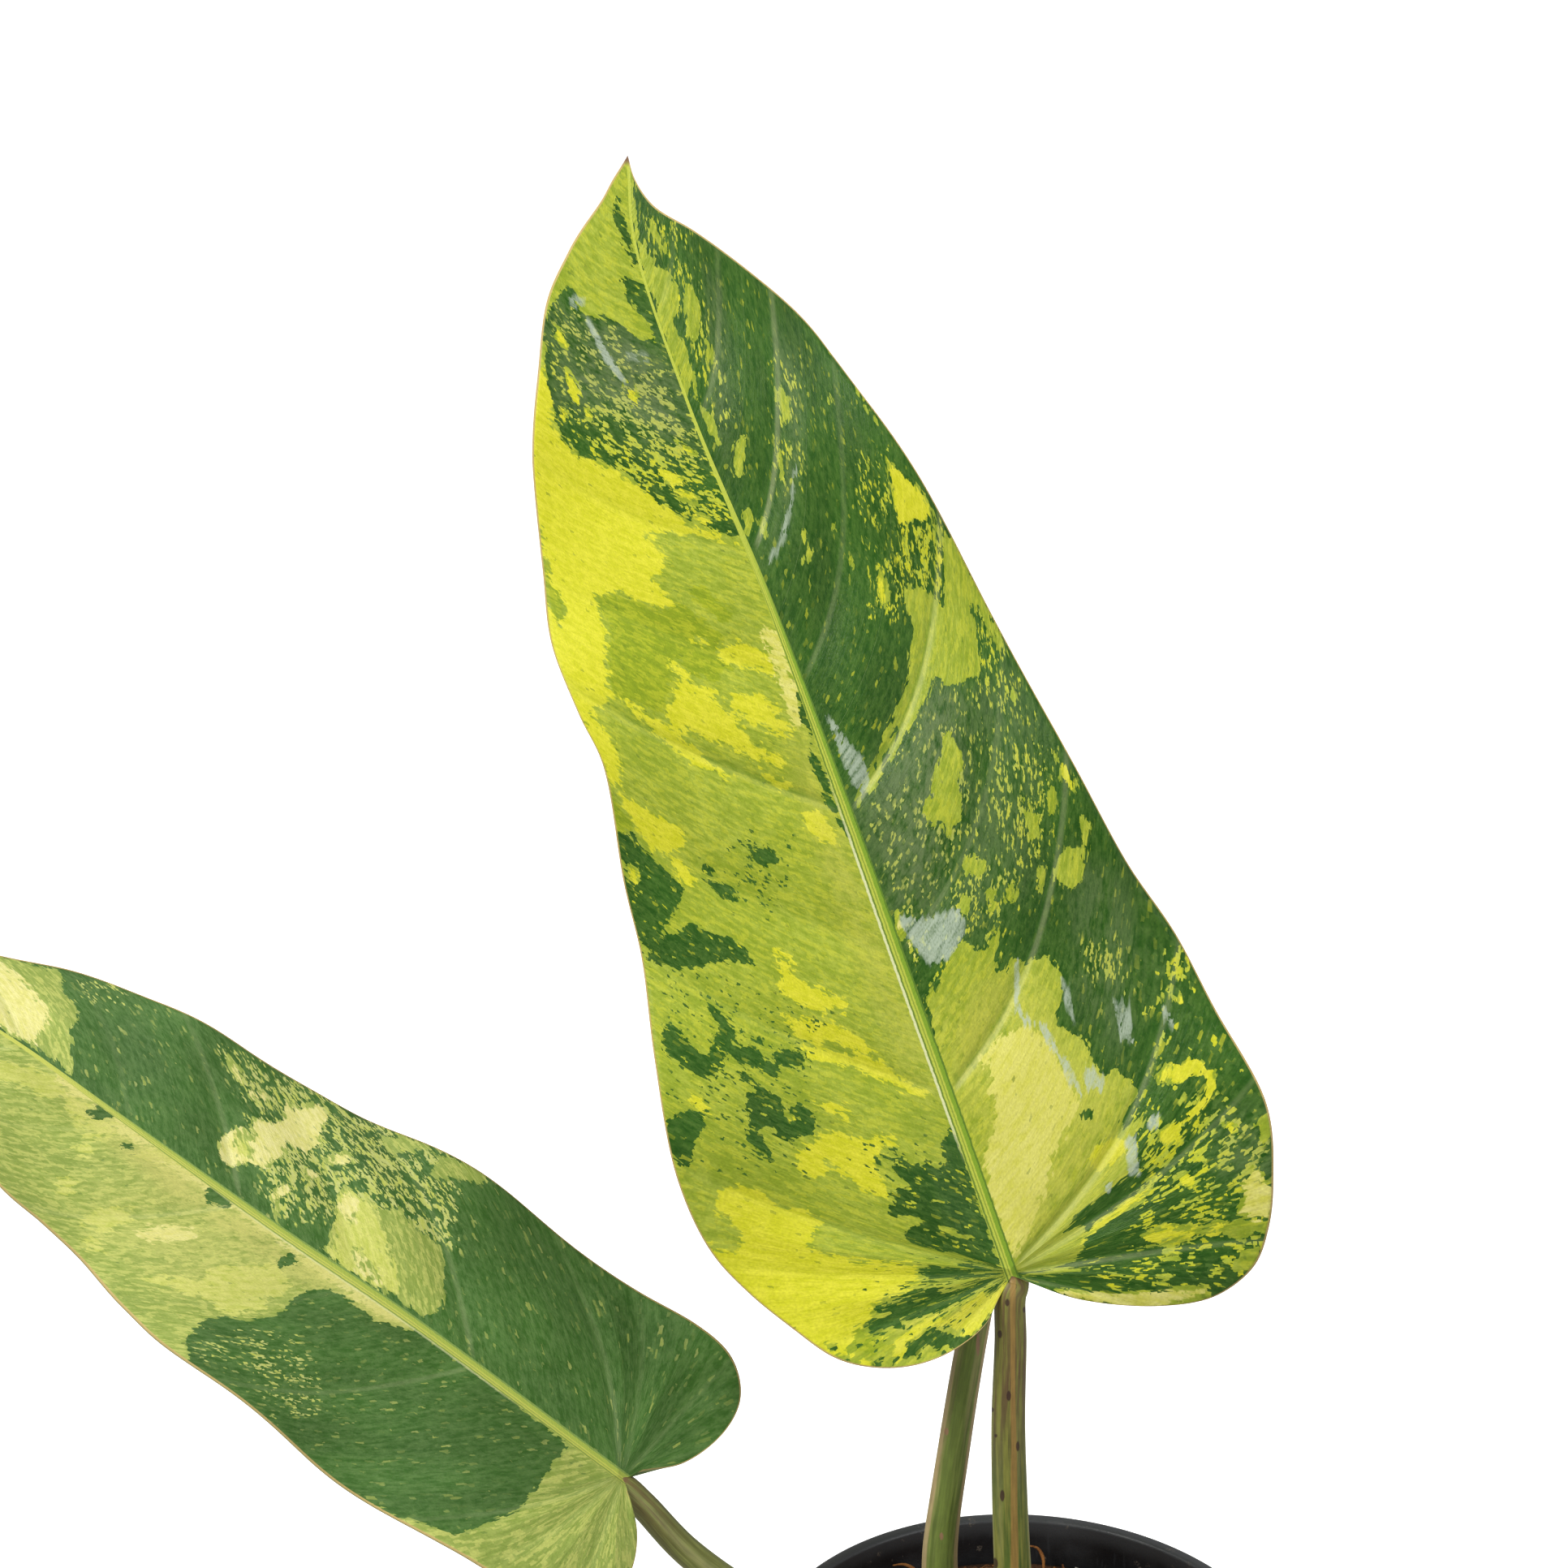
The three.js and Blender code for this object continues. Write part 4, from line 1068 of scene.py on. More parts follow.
LEFT_UPPER = [
    (L, -90, 1120, 0, 1176, 72, 1198, 78, 1222, 92, 1240, 97, 1258, 88, 1268, 88, 1322, 60, 1300,
     -90, 1220),
    (C, -90, 1140, 28, 1202, 63, 1245, 63, 1258, 52, 1268, 52, 1286, 36, 1282, -90, 1222),
    (C, 272, 1400, 299, 1384, 309, 1396, 313, 1378, 336, 1383, 346, 1381, 352, 1376, 346, 1368, 350, 1356,
     358, 1357, 363, 1367, 394, 1357, 400, 1367, 408, 1368, 406, 1378, 397, 1388, 397, 1410, 384, 1416,
     374, 1429, 370, 1428, 366, 1416, 355, 1410, 347, 1429, 339, 1429, 330, 1442, 304, 1434, 282, 1439,
     267, 1423),
    (Y, 288, 1400, 306, 1402, 309, 1425, 292, 1428),
    (C, 282, 1300, 292, 1312, 300, 1336, 296, 1338, 284, 1318),
    (C, 304, 1352, 309, 1341, 317, 1346, 328, 1343, 331, 1351, 326, 1359),
    (C, 397, 1432, 406, 1423, 419, 1420, 434, 1423, 435, 1431, 429, 1436),
    (C, 376, 1439, 390, 1442, 397, 1448, 384, 1453, 378, 1450),
    (C, 333, 1471, 352, 1456, 358, 1461, 357, 1471, 346, 1474, 339, 1484, 346, 1500, 342, 1506),
    (L, 470, 1400, 480, 1397, 493, 1404, 496, 1413, 490, 1426, 482, 1426),
    (L, 413, 1474, 419, 1464, 429, 1460, 464, 1487, 493, 1488, 502, 1503, 512, 1506, 518, 1516, 540, 1530,
     550, 1560, 545, 1610, 520, 1625, 500, 1606, 432, 1570, 394, 1538, 403, 1532, 410, 1516),
    (Y, 415, 1476, 429, 1464, 460, 1486, 492, 1592, 470, 1587, 432, 1568, 405, 1546),
    (C, 418, 1490, 428, 1470, 438, 1484, 436, 1510, 428, 1500),
    (C, 436, 1540, 452, 1550, 470, 1580, 452, 1574, 438, 1558),
    (L, 480, 1402, 500, 1398, 560, 1428, 600, 1440, 600, 1456, 545, 1452, 532, 1445, 545, 1425, 520, 1415,
     500, 1420, 488, 1415),
    (D, 522, 1484, 545, 1455, 600, 1455, 600, 1490, 545, 1492),
]
LEFT_LOWER = [
    (Y, -90, 1290, 40, 1312, 90, 1345, 60, 1350, 20, 1335, -90, 1330),
    (C, 60, 1300, 90, 1335, 170, 1388, 250, 1452, 450, 1590, 520, 1632, 600, 1690, 600, 1712, 510, 1632,
     470, 1622, 230, 1449, 190, 1427, 110, 1366, 80, 1340),
    (Y, 80, 1348, 120, 1360, 150, 1385, 135, 1400, 110, 1395, 80, 1372),
    (D, 105, 1368, 120, 1364, 138, 1372, 140, 1380, 122, 1378, 108, 1376),
    (D, 148, 1408, 165, 1410, 172, 1418, 158, 1421),
    (D, 250, 1470, 262, 1464, 278, 1470, 286, 1480, 280, 1488, 262, 1486, 252, 1480),
    (Y, 90, 1410, 110, 1412, 115, 1422, 98, 1425),
    (Y, 165, 1422, 185, 1412, 215, 1420, 235, 1432, 215, 1438, 180, 1430),
    (C, 165, 1516, 187, 1510, 210, 1512, 233, 1516, 239, 1524, 225, 1529, 180, 1526),
    (Y, 172, 1577, 214, 1573, 241, 1577, 271, 1558, 343, 1560, 356, 1588, 351, 1596, 328, 1600, 328, 1611,
     313, 1619, 282, 1621, 263, 1611, 263, 1600),
    (Y, 108, 1497, 134, 1486, 172, 1482, 161, 1493, 163, 1505, 138, 1516, 100, 1509),
    (Y, 100, 1395, 123, 1391, 142, 1395, 130, 1406, 108, 1410),
    (Y, 100, 1524, 123, 1528, 130, 1543, 111, 1541),
    (Y, 70, 1450, 95, 1455, 90, 1470, 72, 1466),
    (D, 344, 1556, 354, 1546, 366, 1545, 362, 1558, 350, 1563),
    (D, 226, 1658, 234, 1642, 250, 1630, 276, 1620, 300, 1626, 350, 1616, 362, 1598, 400, 1587, 452, 1616,
     460, 1628, 520, 1640, 700, 1780, 640, 1860, 560, 1890, 440, 1850, 300, 1740, 240, 1700),
]

# A zone is its density, the millimetres that it fades over, then x and y of each corner.
# These are zones of fine flecks in the deep tissue, and of dark specks in the pale one.
FRONT_RIGHT_FLECKS = [
    (0.3, 4, 795, 270, 840, 270, 905, 500, 890, 520, 850, 470),
    (0.25, 3, 945, 440, 985, 440, 990, 600, 955, 610),
    (0.4, 3, 1070, 680, 1105, 680, 1108, 760, 1075, 760),
    (0.5, 2, 1104, 640, 1165, 640, 1175, 745, 1112, 745),
    (0.35, 3, 1055, 560, 1095, 560, 1105, 645, 1060, 645),
    (0.35, 3, 1190, 745, 1225, 745, 1250, 870, 1195, 870),
    (0.15, 5, 1060, 1000, 1130, 870, 1150, 845, 1240, 810, 1300, 930, 1300, 1000, 1285, 1090, 1230, 1180,
     1140, 1220),
    (0.36, 4, 1215, 930, 1240, 900, 1290, 940, 1300, 1010, 1270, 1090, 1225, 1040),
    (0.32, 4, 1150, 930, 1195, 895, 1210, 1000, 1170, 1080, 1130, 1010),
    (0.3, 3, 1075, 990, 1110, 990, 1110, 1040, 1080, 1040),
    (0.4, 3, 1170, 1090, 1250, 1070, 1240, 1130, 1180, 1150),
    (0.5, 2, 1335, 1155, 1380, 1155, 1380, 1205, 1335, 1205),
    (0.4, 3, 1425, 1165, 1465, 1165, 1465, 1245, 1425, 1245),
    (0.1, 6, 1380, 1180, 1560, 1180, 1560, 1400, 1380, 1400),
    (0.42, 5, 1400, 1360, 1560, 1360, 1560, 1565, 1400, 1565),
    (0.3, 4, 1340, 1555, 1510, 1555, 1500, 1595, 1350, 1595),
]
FRONT_LEFT_FLECKS = [
    (0.3, 4, 670, 360, 720, 385, 800, 430, 780, 520, 700, 560, 672, 455),
    (0.5, 4, 740, 480, 810, 450, 850, 500, 910, 640, 880, 655, 800, 605, 730, 560),
    (0.12, 3, 1095, 1390, 1180, 1390, 1240, 1560, 1090, 1500),
]
FRONT_LEFT_SPECKS = [
    (0.3, 4, 900, 1030, 965, 1030, 965, 1120, 900, 1120),
    (0.25, 4, 1060, 1410, 1130, 1410, 1130, 1455, 1060, 1455),
    (0.15, 6, 820, 1180, 1010, 1250, 1000, 1430, 820, 1440),
    (0.2, 4, 1070, 1560, 1240, 1560, 1180, 1670, 1070, 1690),
]
LEFT_UPPER_FLECKS = [
    (0.55, 3, 270, 1290, 430, 1350, 560, 1400, 560, 1540, 410, 1500, 335, 1500, 312, 1378),
    (0.22, 4, 95, 1190, 165, 1190, 165, 1235, 95, 1235),
]
LEFT_LOWER_FLECKS = [
    (0.3, 4, 290, 1640, 370, 1650, 400, 1740, 330, 1740),
    (0.3, 3, 235, 1640, 290, 1650, 290, 1680, 240, 1670),
]

# Zones of whitish water-mark residue and painted reflections, with crisp edges
FRONT_RIGHT_RESIDUE_AND_REFLECTION = [
    (0.6, 0.8, 1016, 880, 1026, 884, 1048, 916, 1066, 936, 1074, 968, 1060, 984, 1046, 960, 1034, 930),
    (0.85, 0.6, 1105, 1127, 1130, 1132, 1160, 1126, 1182, 1118, 1190, 1134, 1186, 1160, 1170, 1180,
     1146, 1190, 1130, 1170, 1112, 1145),
    (0.55, 0.4, 943, 693, 958, 666, 971, 622, 978, 574, 983, 574, 978, 628, 965, 672, 948, 698),
    (0.75, 0.3, 1250, 1180, 1256, 1181, 1257, 1240, 1268, 1256, 1286, 1259, 1304, 1290, 1320, 1316,
     1334, 1350, 1328, 1352, 1312, 1324, 1296, 1296, 1280, 1266, 1260, 1262, 1250, 1246),
    (0.6, 0.4, 1370, 1230, 1392, 1236, 1400, 1290, 1380, 1285),
    (0.6, 0.4, 1430, 1240, 1446, 1243, 1448, 1265, 1434, 1262),
    (0.6, 0.4, 1305, 1200, 1318, 1215, 1326, 1260, 1314, 1250),
    (0.9, 0.3, 1333, 1318, 1345, 1315, 1360, 1330, 1360, 1344, 1340, 1342),
    (0.7, 0.4, 1412, 1375, 1428, 1372, 1430, 1390, 1416, 1392),
    (0.7, 0.5, 1385, 1400, 1400, 1398, 1405, 1450, 1390, 1448),
    (0.7, 0.4, 1360, 1455, 1370, 1455, 1370, 1470, 1360, 1470),
]
FRONT_LEFT_RESIDUE_AND_REFLECTION = [
    (0.65, 0.5, 718, 388, 725, 390, 748, 430, 774, 472, 769, 476, 742, 442),
    (0.5, 0.6, 700, 362, 722, 366, 720, 382, 702, 380),
    (0.4, 0.8, 768, 428, 800, 434, 800, 450, 772, 446),
]

# Zones of greyish painted sheen on the deep tissue
FRONT_RIGHT_SHEENS = [
    (0.75, 8, 1060, 1000, 1130, 870, 1150, 850, 1190, 850, 1200, 930, 1190, 1010, 1170, 1100, 1140, 1150,
     1095, 1110),
    (0.35, 8, 1180, 850, 1240, 840, 1290, 950, 1270, 1090, 1200, 1160, 1160, 1100),
    (0.5, 3, 870, 330, 884, 350, 896, 440, 892, 560, 880, 500, 874, 420),
    (0.5, 3, 952, 400, 972, 440, 986, 500, 988, 560, 968, 640, 940, 695, 962, 620, 974, 560, 970, 490),
    (0.45, 6, 1320, 1060, 1380, 1080, 1420, 1200, 1380, 1300, 1320, 1220),
    (0.5, 5, 1500, 1370, 1575, 1370, 1580, 1450, 1500, 1450),
]
FRONT_LEFT_SHEENS = [
    (0.75, 8, 680, 365, 740, 380, 790, 400, 840, 470, 860, 560, 790, 540, 690, 490),
]

# Zones of paler lime tissue
FRONT_RIGHT_WASHES = [
    (0.55, 9, 1150, 1260, 1200, 1210, 1280, 1200, 1320, 1280, 1400, 1350, 1390, 1450, 1310, 1540,
     1250, 1566, 1200, 1440),
]
FRONT_LEFT_WASHES = [
    (0.5, 6, 985, 880, 1010, 960, 1060, 1090, 1130, 1260, 1160, 1350, 1140, 1360, 1090, 1250, 1030, 1110,
     985, 960),
    (0.6, 6, 1100, 1600, 1180, 1590, 1235, 1575, 1215, 1625, 1170, 1640, 1100, 1670),
]
LEFT_LOWER_WASHES = [
    (0.8, 4, 60, 1300, 205, 1412, 400, 1554, 520, 1630, 500, 1650, 380, 1580, 290, 1540, 180, 1450,
     90, 1370),
    (0.45, 8, 120, 1440, 240, 1480, 350, 1560, 340, 1600, 230, 1590, 120, 1510),
]

# Outlines of the broad and the narrow kind of blade
BROAD_RIGHT = [
    (-3.4, 2.5), (-12.5, 13.8), (-20.4, 32.2), (-22.5, 46), (-18.4, 56.7), (-9.5, 63.2), (2, 67.8),
    (20, 71.9), (45, 68.3), (65, 65.6), (86, 59.9), (113, 55.5), (152, 50), (190, 45),
    (212, 40.5), (236, 34.5), (253, 26.1), (271, 14.1), (280, 5.3), (287, 1.3), (292.6, 0),
]
BROAD_LEFT = [
    (-4.1, 3.8), (-10.1, 9.9), (-13, 18.5), (-13.2, 29.2), (-10.4, 38.8), (-4.8, 47.4),
    (5.6, 55.2), (17.7, 62.6), (30.4, 67.6), (50, 69), (80, 64.2), (103, 59.4), (122, 57.3),
    (151, 52), (165, 53.2), (186, 53.3), (204, 48.5), (231, 39.4), (247, 31.9), (262, 24.4),
    (271, 16.6), (281, 7.4), (287, 3.8), (292.6, 0),
]
NARROW_RIGHT = [
    (-4, 3), (-12, 12), (-17, 26), (-16, 38), (-9, 45.5), (4, 49), (22, 49.5), (48, 48),
    (76, 46.1), (94, 45.1), (118, 42.7), (143, 37.3), (168, 33.2), (189.5, 29), (208, 20.7),
    (225, 13), (243, 6.5), (258, 2.4), (269.8, 0),
]
NARROW_LEFT = [
    (-4, 3.4), (-11, 10), (-15, 22), (-14, 33), (-7, 42), (6, 49), (26, 52), (54, 52.1),
    (90, 52.6), (112, 51.2), (125, 47.2), (140, 41.6), (152, 40.3), (164, 40.6), (184, 36),
    (206, 25.5), (228, 15), (250, 5), (269.8, 0),
]


def signed_distance(points: Array, outline: Sequence[float]) -> Array:
    """Gives each point's distance to a closed outline, positive inside it.

    It is the least distance to any edge. A point is inside when a level ray from it crosses
    an odd number of edges.

    Args:
        points: places, one a row.
        outline: x and y of each corner in turn.

    Returns:
        Signed distances in the points' unit.
    """
    start = np.reshape(outline, (-1, 2)).astype(float)
    end = np.roll(start, -1, axis=0)
    edge = end - start
    offset = points[:, None] - start
    share = np.clip((offset * edge).sum(-1) / np.maximum((edge ** 2).sum(-1), TINY), 0, 1)
    nearest = np.linalg.norm(offset - share[..., None] * edge, axis=-1).min(-1)
    x, y = points[:, :1], points[:, 1:]
    spans = (start[:, 1] > y) != (end[:, 1] > y)
    rise = np.where(np.abs(edge[:, 1]) < TINY, TINY, edge[:, 1])
    crossings = spans & (x < start[:, 0] + (y - start[:, 1]) / rise * edge[:, 0])
    inside = crossings.sum(-1) % 2 == 1
    return np.where(inside, nearest, -nearest)


def lay_tones(pixels: Array, base: Tone, patches: Rows) -> dict[str, Array]:
    """Lays patches over a base tone, each one over those before it.

    A patch's own tone takes the greater of its field and the patch's signed distance. Every
    other tone takes the lesser of its field and the negative of that distance.

    Args:
        pixels: the picture's pixel of each point, one a row.
        base: the tone under all patches.
        patches: rows of a tone and an outline.

    Returns:
        For each tone a signed distance in millimetres, positive where it shows.
    """
    laid = {tone: np.full(len(pixels), FAR if tone is base else -FAR) for tone in Tone}
    for tone, *outline in patches:
        reach = signed_distance(pixels, outline) / PIXELS_PER_MM
        for other, known in laid.items():
            laid[other] = np.maximum(known, reach) if other is tone else np.minimum(known, -reach)
    return {tone.value: np.clip(known, -FAR, FAR) for tone, known in laid.items()}


def lay_dust(pixels: Array, base: float, zones: Rows) -> Array:
    """Gives a density: the greatest of the base and of the zones, which fade at their edges.

    Args:
        pixels: the picture's pixel of each point, one a row.
        base: the density outside all zones.
        zones: rows of a density, the millimetres that it fades over, and an outline.

    Returns:
        A density from 0 to 1 for each point.
    """
    laid = np.full(len(pixels), base)
    for density, fade, *outline in zones:
        reach = signed_distance(pixels, outline) / PIXELS_PER_MM
        laid = np.maximum(laid, density * smoothstep(reach, -fade, fade))
    return laid


# A hidden blade's tones, each with the length of its swells and the least relief that shows it
GROWN_TONES = ((D, 26, -0.25), (O, 17, 0.25), (Y, 20, 0.4), (C, 15, 0.85))
GROWN_STRETCH = (1.0, 0.38)
GROWN_SLOPE = 7.0


def grow_tones(chart: Array, seed: int) -> dict[str, Array]:
    """Makes up the tones of a blade that the picture hides.

    Each tone's field is a seeded wave relief, stretched along the veins, less a threshold.

    Args:
        chart: distance across the veins and along them in millimetres, one a row.
        seed: picks the pattern.

    Returns:
        For each tone a signed distance in millimetres, positive where it shows.
    """
    fields = {Tone.LIME.value: np.full(len(chart), FAR)}
    for shift, (tone, length, least) in enumerate(GROWN_TONES):
        fields[tone.value] = GROWN_SLOPE * (waves(chart * GROWN_STRETCH, length, seed + shift) - least)
    return fields


# Blades


@dataclass(frozen=True)
class Veins:
    """Where the side veins of one half leave the midrib, and how much they mark it.

    Attributes:
        forward: distance along the midrib and weight of each.
        fan: share of the lobe's fan and weight of each.
        bend: how strongly a vein curves towards the tip, from 0 to 1.
        hasten: how much further forward the veins reach near the tip.
        strength: multiplies all the weights.
        sheen: how strong the painted sheen on the base side of a vein is.
    """

    forward: tuple[tuple[float, float], ...] = (
        (46, 0.9), (82, 0.3), (119, 1), (153, 0.35), (187, 1), (222, 0.4), (252, 0.3))
    fan: tuple[tuple[float, float], ...] = ((0.18, 0.4), (0.42, 0.6), (0.68, 0.5), (0.9, 0.8))
    bend: float = 0.5
    hasten: float = 0.65
    strength: float = 1.0
    sheen: float = 1.0


STRONG_VEINS = Veins()
FLAT_VEINS = Veins(
    forward=((46, 0.5), (82, 0.2), (119, 0.9), (153, 0.2), (187, 0.3), (222, 0.3), (252, 0.2)),
    fan=((0.18, 0.3), (0.42, 0.4), (0.68, 0.3), (0.9, 0.5)), bend=0.2, hasten=0.0, sheen=0.3)
FAINT_VEINS = Veins(bend=0.3, hasten=0.3, strength=0.45)


@dataclass(frozen=True)
class Half:
    """One half of a blade.

    Attributes:
        outline: distance along the midrib and out from it, from the notch round to the tip.
        phase: where the margin's wave starts.
        lean: how far a vein runs forward for each millimetre outwards.
        veins: its side veins.
        base: the tone under all patches.
        patches: its patches.
        fleck: least density of pale flecks in the deep tissue.
        flecks: zones with more of them.
        specks: zones of dark specks in the pale tissue.
        residue_and_reflection_zones: zones of whitish water-mark residue and painted reflections.
        painted_sheens: zones of greyish painted sheen on the deep tissue.
        washes: zones of paler lime tissue.
    """

    outline: Outline
    phase: float
    lean: float
    veins: Veins = FAINT_VEINS
    base: Tone = Tone.DEEP
    patches: Rows = ()
    fleck: float = 0.0
    flecks: Rows = ()
    specks: Rows = ()
    residue_and_reflection_zones: Rows = ()
    painted_sheens: Rows = ()
    washes: Rows = ()


@dataclass(frozen=True)
class BladeShape:
    """Form of one blade.

    Attributes:
        node: the frame's node that it stands for.
        joint: where its stalk ends.
        aim: which way its midrib runs.
        face: which way its upper side looks.
        midrib: its course as distances along, to the right and towards the face.
        halves: its right and left half.
        scale: stretch of the outlines along and out.
        fold: rise of the V fold for each millimetre outwards.
        wave: height and length of the margin's wave.
        seen: whether the picture shows it. If not, its pattern is made up.
        seed: picks its undulations.
        finish: its tissue.
    """

    node: str
    joint: tuple[float, float, float]
    aim: tuple[float, float, float]
    face: tuple[float, float, float]
    midrib: list[tuple[float, float, float]]
    halves: tuple[Half, Half]
    scale: tuple[float, float]
    fold: float
    wave: tuple[float, float]
    seen: bool
    seed: int
    finish: LeafFinish


class Blade:
    """A thin closed blade on a fine grid whose rows are veins.

    A row starts on the midrib and ends on the margin. At the share v of the way, its point
    lies (1 - bend) v + bend v^3 of its reach along the midrib and v of its reach outwards.
    """

    FAN_ROWS = 110  # rows that fan out round the lobe
    FORWARD_ROWS = 190  # rows from the stalk to the tip
    COLUMNS = 58  # points along a vein
    CROWDING = 1.15  # above 1, columns stand closer near the midrib
    MARGIN_SAMPLES = 2401  # places of the margin that a row may end at
    THICKNESS = 0.8
    CREASE_RADIUS = 3.0  # rounds the fold over the midrib
    RIDGE = (2.2, 2.6)  # height and half width of the midrib below
    GROOVE = (0.5, 1.6)  # depth and half width of its groove above
    NOTCH = 1.6  # how far behind the stalk's joint the first row starts
    CREASE = (0.95, 1.3)  # depth and half width of a side vein's furrow
    BULGE = (1.7, 6.0)  # height of the tissue between side veins, and how far off them it rises
    ROLL = (0.9, 42.0)  # height and length of the blade's own undulations
    MIDRIB = (1.6, 0.32)  # half width of the drawn midrib at the stalk and at the tip
    TIP = (2.6, 1.2)  # from where before the end the brown point begins, and is full
    FAN_BEND = 0.1  # how strongly the first vein of the fan curves
    FAN_STRETCH = (0.6, 40)  # stretch of the pattern in the fan, and rows until it is gone
    CHART_SHARE = 0.6  # where on the way out the distance across the veins is read
    CHART_OFFSET = 400.0  # parts the patterns of the two halves
    STRETCHED = (1, 0.4)  # the made-up marks' stretch along the veins

    def __init__(self, shape: BladeShape) -> None:
        """Sets up the blade's own directions and its midrib.

        Args:
            shape: its form.
        """
        self.shape = shape
        along = unit(np.array(shape.aim, float))
        hint = np.array(shape.face, float)
        self.face = unit(hint - (hint @ along) * along)
        right = np.cross(along, self.face)
        places = np.array(shape.joint) + np.array(shape.midrib) @ np.stack([along, right, self.face])
        self.curve = SmoothCurve(places)
        self.length = self.curve.length

    def station(self, distances: Array) -> tuple[Array, Array, Array]:
        """Gives the midrib's point, right and normal at distances along it.

        The normal is the face direction less its part along the midrib. Behind the stalk the
        midrib goes straight on.

        Args:
            distances: millimetres from the stalk, in any shape.

        Returns:
            Points, directions to the right, and normals.
        """
        inside = np.clip(distances, 0, self.length)
        tangent = self.curve.tangent(inside)
        normal = unit(self.face - (tangent @ self.face)[..., None] * tangent)
        point = self.curve.point(inside) + tangent * np.minimum(distances, 0)[..., None]
        return point, np.cross(tangent, normal), normal

    def _rows(self, half: Half) -> tuple[Array, Array]:
        """Lists where each row starts on the midrib and ends on the margin.

        The first rows fan out from the stalk round the lobe, at even steps of the margin, and
        start between the notch and the joint. The later ones start at even steps of the
        midrib. Each ends at the first margin point whose distance along, less the lean times
        its distance out, reaches that start. The lean grows towards the tip.

        Args:
            half: the half blade.

        Returns:
            Starts, and ends as distance along and out.
        """
        margin = SmoothCurve(np.array(half.outline) * np.array(self.shape.scale))
        distances = np.linspace(0, margin.length, self.MARGIN_SAMPLES)
        along, out = margin.point(distances).T
        reach = along[-1]
        lean = half.lean * (1 + half.veins.hasten * smoothstep(along / reach, 0.6, 0.85))
        begins = along - lean * out
        first = int(np.argmax(begins > 0))
        starts = np.linspace(0, reach, self.FORWARD_ROWS + 1)[1:]
        climb = np.maximum.accumulate(begins[first:]) + TINY * np.arange(len(begins) - first)
        stops = np.interp(starts, climb, distances[first:])
        fan = np.linspace(0, distances[first], self.FAN_ROWS + 1)
        ends = margin.point(np.concatenate([fan, stops]))
        starts = np.concatenate([np.linspace(-self.NOTCH, 0, self.FAN_ROWS + 1), starts])
        grow = self.length / reach
        return starts * grow, ends * np.array([grow, 1.0])

    def _ribs(self, veins: Veins, starts: Array, spacing: Array) -> tuple[Array, Array]:
        """Gives each grid point's signed distance to the nearest side vein, and its weight.

        Args:
            veins: the half's side veins.
            starts: where the rows start on the midrib.
            spacing: distance across the veins from the first row, for each grid point.

        Returns:
            Distances in millimetres and weights, shaped as spacing.
        """
        rows = [(int(share * self.FAN_ROWS), weight) for share, weight in veins.fan]
        scale = self.shape.scale[0]
        forward = np.searchsorted(starts[self.FAN_ROWS:], [d * scale for d, _ in veins.forward])
        rows += [(self.FAN_ROWS + int(r), w) for r, (_, w) in zip(forward, veins.forward)]
        away = np.stack([spacing - spacing[row] for row, _ in rows])
        nearest = np.abs(away).argmin(0)
        weights = np.array([weight * veins.strength for _, weight in rows])
        return np.take_along_axis(away, nearest[None], 0)[0], weights[nearest]

    def _flat(self, half: Half) -> tuple[Array, Array, Array, Array]:
        """Lays one half blade flat, with a row of points along each vein.

        Args:
            half: the half blade.

        Returns:
            Each point's distance along the midrib and out from it, then its distance across
            the veins from the first row and along its own vein.
        """
        starts, ends = self._rows(half)
        v = self._shares()
        rows = np.arange(len(starts))
        bend = np.interp(rows, (0, self.FAN_ROWS), (self.FAN_BEND, half.veins.bend))[:, None]
        share = (1 - bend) * v + bend * v ** 3
        a = starts[:, None] + (ends[:, :1] - starts[:, None]) * share
        flat = np.stack([a, ends[:, 1:] * v], -1)
        course = unit(np.gradient(flat, axis=1) + TINY)
        stride = np.diff(flat, axis=0)
        crossing = np.abs(stride[..., 0] * course[:-1, :, 1] - stride[..., 1] * course[:-1, :, 0])
        spacing = np.vstack([np.zeros((1, self.COLUMNS)), np.cumsum(crossing, axis=0)])
        reach = np.linalg.norm(np.diff(flat, axis=1), axis=-1)
        travel = np.hstack([np.zeros((len(a), 1)), np.cumsum(reach, axis=1)])
        return a, flat[..., 1], spacing, travel

    def _shares(self) -> Array:
        """Gives each column's share of the way from the midrib to the margin."""
        return np.linspace(0, 1, self.COLUMNS) ** self.CROWDING

    def _chart(self, spacing: Array, travel: Array, side: int) -> Array:
        """Gives the surface coordinates that the tissue's patterns follow.

        They are the distance across the veins, read in one column, and the distance along
        them, which is shortened in the fan.

        Args:
            spacing: distance across the veins of each point.
            travel: distance along its vein.
            side: 1 for the right half and -1 for the left one.

        Returns:
            Pairs of millimetres, shaped rows, columns, 2.
        """
        column = int(np.argmin(np.abs(self._shares() - self.CHART_SHARE)))
        across = np.broadcast_to(spacing[:, column:column + 1], travel.shape)
        least, rows = self.FAN_STRETCH
        stretch = np.interp(np.arange(len(travel)), (self.FAN_ROWS, self.FAN_ROWS + rows), (least, 1))
        shift = self.CHART_OFFSET if side < 0 else 0
        return np.stack([across + shift, travel * stretch[:, None]], -1)

